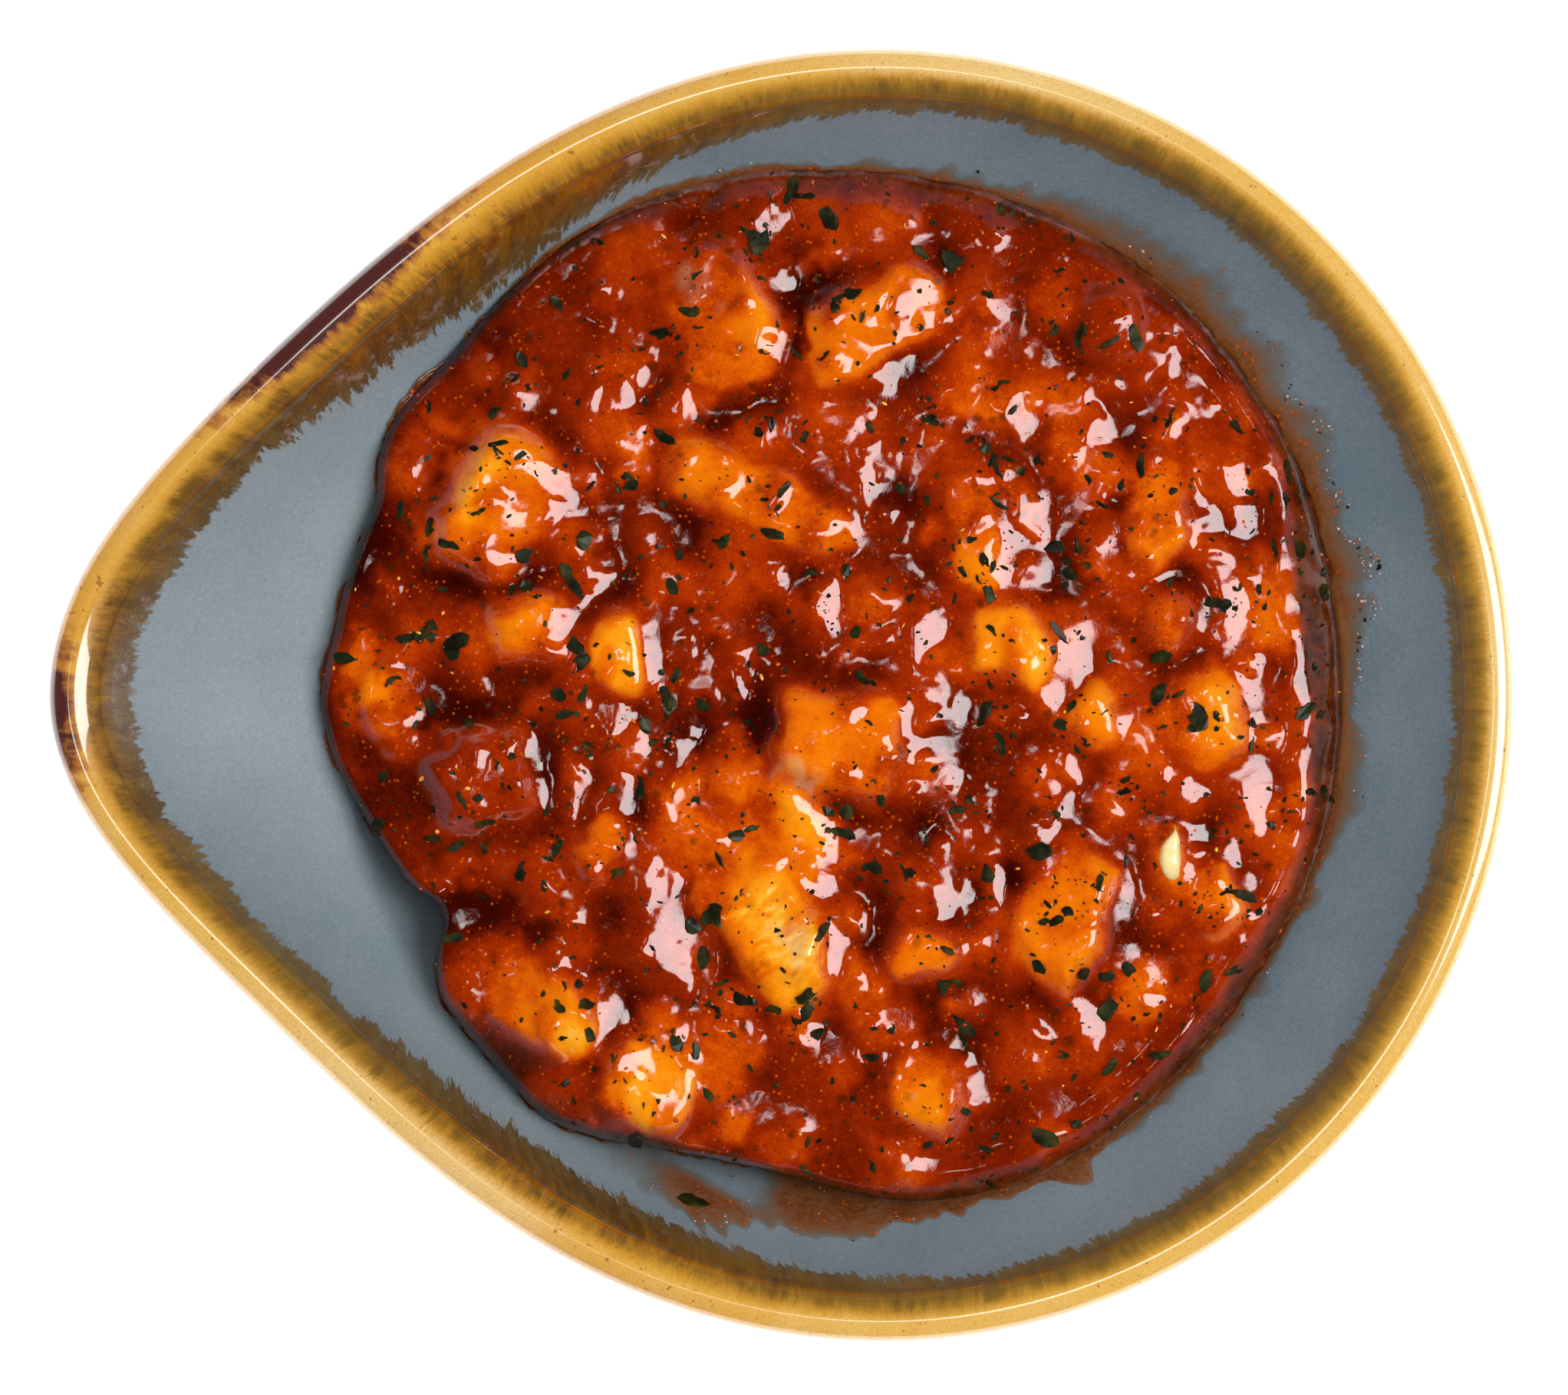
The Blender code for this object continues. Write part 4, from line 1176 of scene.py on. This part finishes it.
def make_sauce():
    height, tone, ashen = sauce_fields()
    share, turn = (part.ravel() for part in disc_grid(SAUCE_CELLS))
    rim = pool_radius(turn)
    run = (1 - share) * rim
    top, crease = sauce_top(height, share, turn, rim)
    mesh = sauce_mesh(top, turn, rim)
    x, y = top[:, 0], top[:, 1]
    at_left = within(turn, 112, 246, 16)
    at_right, at_top = within(turn, -75, 48, 14), within(turn, 60, 108, 18)
    foot_of_roll = run - round_table(turn, ROLL_IN) + 1.0
    numbers = {
        "tone": read_field(tone, x, y),
        "ashen": read_field(ashen, x, y),
        # edge is painted shade along the sauce's edge, widest at the left.
        "edge": at_left * bell(run, 0, 0.95) + 0.30 * (1 - at_left) * bell(run, 0, 0.5),
        "thin": at_right * (1 - eased(foot_of_roll / 1.1)) * 0.9 + at_top * (1 - eased(run / 2.4)) * 0.7,
        "herbs": herb_spread(x, y) * (run > 0.3),
        # crease also darkens the colour there as painted shade.
        "crease": crease,
    }
    hidden = np.zeros(len(mesh.vertices) - len(top))
    for name, values in numbers.items():
        set_values(mesh, name, np.concatenate([values, hidden]))
    return as_piece("sauce_surface", outward(mesh), sauce_material(), ["sauce"])


sauce = make_sauce()


def sink_onions():
    """Lowers whatever of a coated piece still stands out of the sauce to just under its skin."""
    tree = ray_tree(sauce)
    for piece in onions:
        if ONION_LOOKS[piece.name.removesuffix("_flesh")][1] < 0:
            continue
        for vertex in piece.data.vertices:
            x, y, z = vertex.co
            skin = tree.ray_cast(Vector((x, y, 0.05)), Vector((0, 0, -1)))[0]
            if skin and z > skin.z - SUNK * MM:
                vertex.co.z = skin.z - SUNK * MM


sink_onions()


# ---------------------------------------------------------------------------------------
# The smear: thin sauce and oil that wetted the glaze beyond the sauce's edge. It is clear in
# places, and ends in a fine rounded edge that holds to the wall.
# ---------------------------------------------------------------------------------------

SMEAR_AROUND = 900
SMEAR_ROWS = 26
SMEAR_DEPTH = 0.07
SMEAR_TUCK = 0.5                # how far it reaches in under the sauce
SMEAR_SHORTEST = 0.34           # the least that it reaches out past the sauce
# How far the smear reaches round the well's centre: degrees, millimetres.
SMEAR_EDGE = (
    (0, 39.7), (10, 42.3), (17, 42.1), (29, 43.1), (42, 43.5), (54, 44.0), (62, 42.8), (66, 42.3),
    (75, 41.5), (88, 41.1), (98, 41.0), (109, 40.9), (125, 30), (236, 30), (241, 38), (247, 40.4),
    (256, 41.3), (264, 41.6), (272, 41.2), (284, 40.5), (292, 40.7), (301, 40.6), (315, 40.0),
    (326, 39.6), (337, 39.9), (345, 40.8), (352, 42.1),
)


def smear_material():
    smear = Finish("thin_oily_sauce", Roughness=0.16, Coat_Weight=0.6, Coat_Roughness=0.05)
    cover = smear.number("cover")
    grain = smear.noise(0.35 * MM, 4, 0.7)
    blot = smear.noise(1.7 * MM, 3, 0.6)
    laid = cover + (grain - 0.5) * 0.22 + (blot - 0.5) * 0.42
    colour = smear.ramp(
        laid + (grain - 0.5) * 0.5,
        (0.0, (0.150, 0.125, 0.070)),
        (0.45, (0.190, 0.105, 0.030)),
        (0.7, (0.280, 0.088, 0.010)),
        (1.0, (0.110, 0.019, 0.0010)),
    )
    grains = smear.specks(0.7 * MM)
    red = (1 - grains.step(0.14, 0.26)) * blot.step(0.50, 0.64)
    colour = smear.mix(red, colour, (0.62, 0.075, 0.0006))
    solid = (laid.step(0.0, 1.1) * 0.90 + red * cover.step(0.2, 0.5) * 0.7).clamped()
    smear.set(Base_Color=colour, Alpha=solid, Normal=smear.bump(grain, 0.05 * MM, 0.7))
    return smear.material


def smear_numbers(turn, place, beyond, width):
    """How thickly the smear covers the glaze at each point, and how much lies strewn in it."""
    at_left, at_foot = within(turn, 128, 246, 8), within(turn, 246, 296, 6)
    outwards = np.clip(beyond / np.maximum(width, 0.5), 0, 1)
    washed = 0.70 * (1 - outwards) ** 0.75 * (1 - at_foot) + 0.08 + at_foot * (0.75 - 0.45 * outwards**8)
    cover = np.where(beyond < 0.2, 0.78 + 0.22 * at_left, washed)
    east, north = place[..., 0] + 4.9, place[..., 1] + 36.2
    off_gap = ((east * 0.87 - north * 0.5) / 4.5) ** 4 + ((east * 0.5 + north * 0.87) / 1.5) ** 4
    cover = cover - 0.9 * np.exp(-off_gap) * (beyond > 0.2) - 0.5 * at_left * (beyond > 0.16)
    froth = bell(np.degrees(from_tip(turn + np.pi)), 13, 15) * eased((outwards - 0.35) / 0.4)
    return cover, (froth + 0.05 * (beyond > 0.4)) * (1 - at_left)


def make_smear():
    turn = np.linspace(0, 2 * np.pi, SMEAR_AROUND, endpoint=False)
    edge = pool_radius(turn)
    x, y = 40 * np.cos(turn), 40 * np.sin(turn)
    ragged = 0.42 * waves(x, y, 4.4, 61) + 0.20 * waves(x, y, 1.6, 62)
    reach = round_table(turn, SMEAR_EDGE) + ragged - edge
    outer = edge + np.maximum(reach, SMEAR_SHORTEST)
    inner = edge - SMEAR_TUCK
    share = np.linspace(0, 1, SMEAR_ROWS)[:, None]
    far = inner + (outer - inner) * share**1.3
    beyond = far - edge
    place, normal = on_wall(np.broadcast_to(turn, far.shape), far)
    at_left = within(turn, 128, 246, 8)
    bead = 0.34 * np.exp(-np.maximum(beyond, 0) / 0.13) * at_left
    strip = 0.28 * bell(far, 39.35, 0.30) * within(turn, -8, 9, 3)
    ridge = 0.11 * bell(beyond, 0.20, 0.09) * at_left
    depth = (SMEAR_DEPTH + bead + strip + ridge) * np.sqrt(1 - np.minimum(share, 1) ** 6)
    top = place + depth[..., None] * normal
    under = (place - 0.05 * normal)[::-5]
    rings = np.concatenate([top, under])
    faces = []
    for k in range(len(rings)):
        faces += joined(k * SMEAR_AROUND, (k + 1) % len(rings) * SMEAR_AROUND, SMEAR_AROUND)
    mesh = bpy.data.meshes.new("thin_smear")
    mesh.from_pydata((rings.reshape(-1, 3) * MM).tolist(), [], faces)
    hidden = np.zeros(len(under) * SMEAR_AROUND)
    for name, values in zip(("cover", "herbs"), smear_numbers(turn, place, beyond, outer - edge)):
        set_values(mesh, name, np.concatenate([values.ravel(), hidden]))
    return as_piece("thin_smear", outward(mesh), smear_material())


smear = make_smear()


# ---------------------------------------------------------------------------------------
# The herbs and spice: dried leaf rubbed to flakes and dust, chilli grains, a few seeds, and
# small bubbles, strewn over the sauce as it was stirred and stuck to its wet skin.
# ---------------------------------------------------------------------------------------

# The smallest and the largest of each kind.
LEAF_SIZES = ((0.42, 0.42, 0.09), (2.5, 1.9, 0.13))
DUST_SIZES = ((0.14, 0.14, 0.07), (0.55, 0.45, 0.12))
GRAIN_SIZES = ((0.10, 0.10, 0.08), (0.42, 0.40, 0.26))
SEED_SIZES = ((0.30, 0.30, 0.14), (0.62, 0.56, 0.26))
BUBBLE_SIZES = ((0.12, 0.14, 0.12), (0.5, 0.55, 0.34))
FROTH_SIZES = ((0.10, 0.12, 0.10), (0.34, 0.36, 0.22))
# The stem's and the large leaf's places, from the middle of the bowl, and the corners of their outlines.
STEM_PLACE = (10.3, -37.2)
STEM_PROPPED = 0.75             # how high its underside is held over the glaze
LEAF_PLACE = (-7.0, -38.7)
LEAF_AWAY = 40.2                # from the well's centre
STEM_OUTLINE = (
    (-1.3, -0.24), (-0.4, -0.30), (0.5, -0.30), (1.25, -0.22), (1.33, 0.05), (1.2, 0.26), (0.4, 0.24),
    (-0.5, 0.20), (-1.25, 0.24), (-1.38, 0.0),
)
LEAF_OUTLINE = (
    (-1.3, -0.2), (-0.7, -0.7), (0.1, -0.8), (0.9, -0.5), (1.4, 0.1), (0.8, 0.5), (0.3, 0.45), (-0.2, 0.8),
    (-0.9, 0.55),
)
SCATTER_INPUTS = (
    ("Ground", "NodeSocketObject"), ("Per square metre", "NodeSocketFloat"), ("Smallest", "NodeSocketVector"),
    ("Largest", "NodeSocketVector"), ("Tilt", "NodeSocketFloat"), ("Rise", "NodeSocketFloat"),
    ("Raggedness", "NodeSocketFloat"), ("Seed", "NodeSocketInt"), ("Finish", "NodeSocketMaterial"),
)


def scatter_tree(name, rounded):
    """A tree that strews flat flakes, or small round grains, and the identifier of each of its inputs."""
    tree = bpy.data.node_groups.new(name, "GeometryNodeTree")
    tree.interface.new_socket("Geometry", in_out="OUTPUT", socket_type="NodeSocketGeometry")
    keys = {}
    for label, kind in SCATTER_INPUTS:
        keys[label] = tree.interface.new_socket(label, in_out="INPUT", socket_type=kind).identifier
    grow = Graph(tree)
    given = grow.add("NodeGroupInput")
    seed = given.also("Seed")
    ground = grow.add("GeometryNodeObjectInfo", {}, {"Object": given.also("Ground")}, "Geometry")
    spread = grow.add("GeometryNodeInputNamedAttribute", {"data_type": "FLOAT"}, {"Name": "herbs"})
    density = spread * given.also("Per square metre")
    scattering = {"Mesh": ground, "Density": density, "Seed": seed}
    points = grow.add("GeometryNodeDistributePointsOnFaces", {}, scattering)
    lift = grow.scaled(points.also("Normal"), given.also("Rise"))
    raised = grow.add("GeometryNodeSetPosition", {}, {"Geometry": points, "Offset": lift})
    steep = grow.add("ShaderNodeCombineXYZ", {}, {0: given.also("Tilt"), 1: given.also("Tilt"), 2: math.pi})
    vector = {"data_type": "FLOAT_VECTOR"}
    spin = grow.add("FunctionNodeRandomValue", vector, {0: grow.scaled(steep, -1.0), 1: steep, "Seed": seed})
    turned = grow.add("FunctionNodeEulerToRotation", {}, {0: spin})
    locally = {"rotation_space": "LOCAL"}
    facing = grow.add("FunctionNodeRotateRotation", locally, {0: points.also("Rotation"), 1: turned})
    share = grow.add("FunctionNodeRandomValue", {}, {2: 0.0, 3: 1.0, "Seed": seed + 1}, 1)
    share = share.maths("POWER", share, 3.2)
    sizes = {0: share, 4: given.also("Smallest"), 5: given.also("Largest")}
    size = grow.add("ShaderNodeMix", {"data_type": "VECTOR"}, sizes, 1)
    shapes = {0: (0.7, 0.30, 0.8), 1: (1.3, 0.85, 1.2), "Seed": seed + 2}
    uneven = grow.add("FunctionNodeRandomValue", vector, shapes)
    size = grow.add("ShaderNodeVectorMath", {"operation": "MULTIPLY"}, {0: size, 1: uneven})
    if rounded:
        shape = grow.add("GeometryNodeMeshIcoSphere", {}, {"Radius": 0.5, "Subdivisions": 2})
    else:
        shape = grow.add("GeometryNodeMeshCylinder", {}, {"Vertices": 10, "Radius": 0.5, "Depth": 1.0})
    laid = {"Points": raised, "Instance": shape, "Rotation": facing, "Scale": size}
    placed = grow.add("GeometryNodeInstanceOnPoints", {}, laid)
    real = grow.add("GeometryNodeRealizeInstances", {}, {0: placed})
    spot = grow.add("GeometryNodeInputPosition")
    noise = grow.add("ShaderNodeTexNoise", {}, {"Vector": spot, "Scale": 1 / (0.6 * MM), "Detail": 3.0}, 1)
    off = grow.add("ShaderNodeVectorMath", {"operation": "SUBTRACT"}, {0: noise, 1: (0.5, 0.5, 0.5)})
    push = grow.scaled(off, given.also("Raggedness"))
    torn = grow.add("GeometryNodeSetPosition", {}, {"Geometry": real, "Offset": push})
    smooth = grow.add("GeometryNodeSetShadeSmooth", {}, {0: torn, "Shade Smooth": rounded})
    done = grow.add("GeometryNodeSetMaterial", {}, {"Geometry": smooth, "Material": given.also("Finish")})
    end = tree.nodes.new("NodeGroupOutput")
    tree.links.new(done.socket, end.inputs[0])
    return tree, keys


def strewn(name, shape, finish, sizes, ground, crowding, tilt, rise, raggedness, seed):
    """One kind of small thing, made real and stuck to the sauce or the smear."""
    tree, keys = shape
    smallest, largest = (tuple(side * MM for side in size) for size in sizes)
    values = {
        "Ground": ground,
        "Finish": finish,
        "Per square metre": crowding,
        "Smallest": smallest,
        "Largest": largest,
        "Tilt": tilt,
        "Rise": rise * MM,
        "Raggedness": raggedness * MM,
        "Seed": seed,
    }
    empty = bpy.data.objects.new(name + "_making", bpy.data.meshes.new(name + "_making"))
    bpy.context.scene.collection.objects.link(empty)
    scatter = empty.modifiers.new("scatter", "NODES")
    scatter.node_group = tree
    for label, value in values.items():
        scatter[keys[label]] = value
    mesh = bpy.data.meshes.new_from_object(empty.evaluated_get(bpy.context.evaluated_depsgraph_get()))
    mesh.name = name
    bpy.data.objects.remove(empty)
    return as_piece(name, mesh, finish)


def herb_material():
    leaf = Finish(
        "rubbed_dried_herb",
        Roughness=0.50,
        Coat_Weight=0.22,
        Coat_Roughness=0.15,
        Specular_IOR_Level=0.15,
    )
    tone = leaf.noise(1.6 * MM, 3, 0.6)
    colour = leaf.ramp(
        tone,
        (0.35, (0.0070, 0.0065, 0.0012)),
        (0.50, (0.0140, 0.0165, 0.0028)),
        (0.60, (0.0290, 0.0300, 0.0040)),
        (0.72, (0.0680, 0.0440, 0.0050)),
    )
    leaf.set(Base_Color=colour, Normal=leaf.bump(leaf.noise(0.22 * MM, 3), 0.04 * MM, 0.8))
    return leaf.material


def grain_material(name, low, high):
    grain = Finish(name, Roughness=0.2, Coat_Weight=1.0, Coat_Roughness=0.05)
    grain.set(Base_Color=grain.ramp(grain.noise(1.1 * MM, 2), (0.38, low), (0.62, high)))
    return grain.material


def stem_material():
    stem = Finish("green_stem", Roughness=0.3, Coat_Weight=0.8, Coat_Roughness=0.08)
    fibre = stem.add("ShaderNodeMapping", {}, {"Vector": stem.place, "Scale": (0.3, 1.6, 1.0)})
    streaks = stem.noise(0.2 * MM, 3, 0.6, fibre)
    stem.set(Base_Color=stem.ramp(streaks, (0.3, (0.13, 0.13, 0.028)), (0.7, (0.34, 0.36, 0.13))))
    return stem.material


def lying_on(x, y, z, heading, tilt, outline, thickness):
    """A flat shape's closed mesh, laid at a place and turned to a heading."""
    work = bmesh.new()
    turned = Matrix.Translation(Vector((x, y, z)) * MM) @ Matrix.Rotation(math.radians(heading), 4, "Z")
    turned = turned @ Matrix.Rotation(math.radians(tilt), 4, "X")
    rings = []
    for level, shrink in ((0, 0.8), (0.35, 1.0), (0.7, 0.95), (1, 0.7)):
        places = [(u * shrink * MM, v * shrink * MM, level * thickness * MM) for u, v in outline]
        rings.append([work.verts.new(turned @ Vector(place)) for place in places])
    count = len(outline)
    for low, high in zip(rings, rings[1:]):
        for k in range(count):
            work.faces.new((low[k], low[(k + 1) % count], high[(k + 1) % count], high[k]))
    work.faces.new(rings[0][::-1])
    work.faces.new(rings[-1])
    mesh = bpy.data.meshes.new("laid")
    work.to_mesh(mesh)
    work.free()
    return outward(mesh)


def make_stem():
    """One cut end of green stem, propped up at the edge of the sauce."""
    height = on_wall(np.array([-1.40]), np.array([38.0]))[0][0, 2] + STEM_PROPPED
    mesh = lying_on(*STEM_PLACE, height, 10, 18, STEM_OUTLINE, 0.5)
    as_piece("green_stem", mesh, stem_material())


def make_leaf(finish):
    """One larger dark leaf, stuck flat to the glaze in the smear."""
    turn = math.atan2(LEAF_PLACE[1], LEAF_PLACE[0] - WELL_CENTRE)
    places, normals = on_wall(np.array([turn]), np.array([LEAF_AWAY]))
    tilt = math.degrees(math.acos(normals[0, 2]))
    mesh = lying_on(*places[0], math.degrees(turn) + 90, -tilt, LEAF_OUTLINE, 0.16)
    as_piece("dark_leaf", mesh, finish)


flakes, grains = scatter_tree("strew_flakes", False), scatter_tree("strew_grains", True)
herb = herb_material()
red = grain_material("chilli_grain", (0.42, 0.024, 0.0004), (0.80, 0.15, 0.0012))
gold = grain_material("chilli_seed", (0.80, 0.28, 0.012), (0.86, 0.44, 0.05))
wet = grain_material("oil_bubble", (0.30, 0.016, 0.0003), (0.44, 0.035, 0.0004))
clear = grain_material("froth", (0.42, 0.34, 0.28), (0.62, 0.54, 0.48))
make_stem()
make_leaf(herb)

# What is strewn: its name, shape, finish, smallest and largest size, what it lies on, how many
# to the square metre, its tilt in radians, its rise and raggedness, and its seed.
STREWN = (
    ("herb_flakes", flakes, herb, LEAF_SIZES, sauce, 1.35e5, 0.28, 0.02, 0.85, 3),
    ("herb_dust", flakes, herb, DUST_SIZES, sauce, 3.2e5, 0.4, 0.02, 0.20, 8),
    ("chilli_grains", grains, red, GRAIN_SIZES, sauce, 1.6e5, 0.5, 0.01, 0.05, 14),
    ("chilli_seeds", grains, gold, SEED_SIZES, sauce, 8.0e3, 0.3, 0.02, 0.04, 21),
    ("smear_flakes", flakes, herb, DUST_SIZES, smear, 9.0e5, 0.3, 0.02, 0.12, 40),
    ("smear_grains", grains, red, GRAIN_SIZES, smear, 1.2e6, 0.5, 0.01, 0.04, 41),
    ("smear_froth", grains, clear, FROTH_SIZES, smear, 3.0e6, 0.1, 0.0, 0.0, 42),
    ("bubbles", grains, wet, BUBBLE_SIZES, sauce, 7.0e4, 0.1, 0.0, 0.0, 30),
)
for row in STREWN:
    strewn(*row)
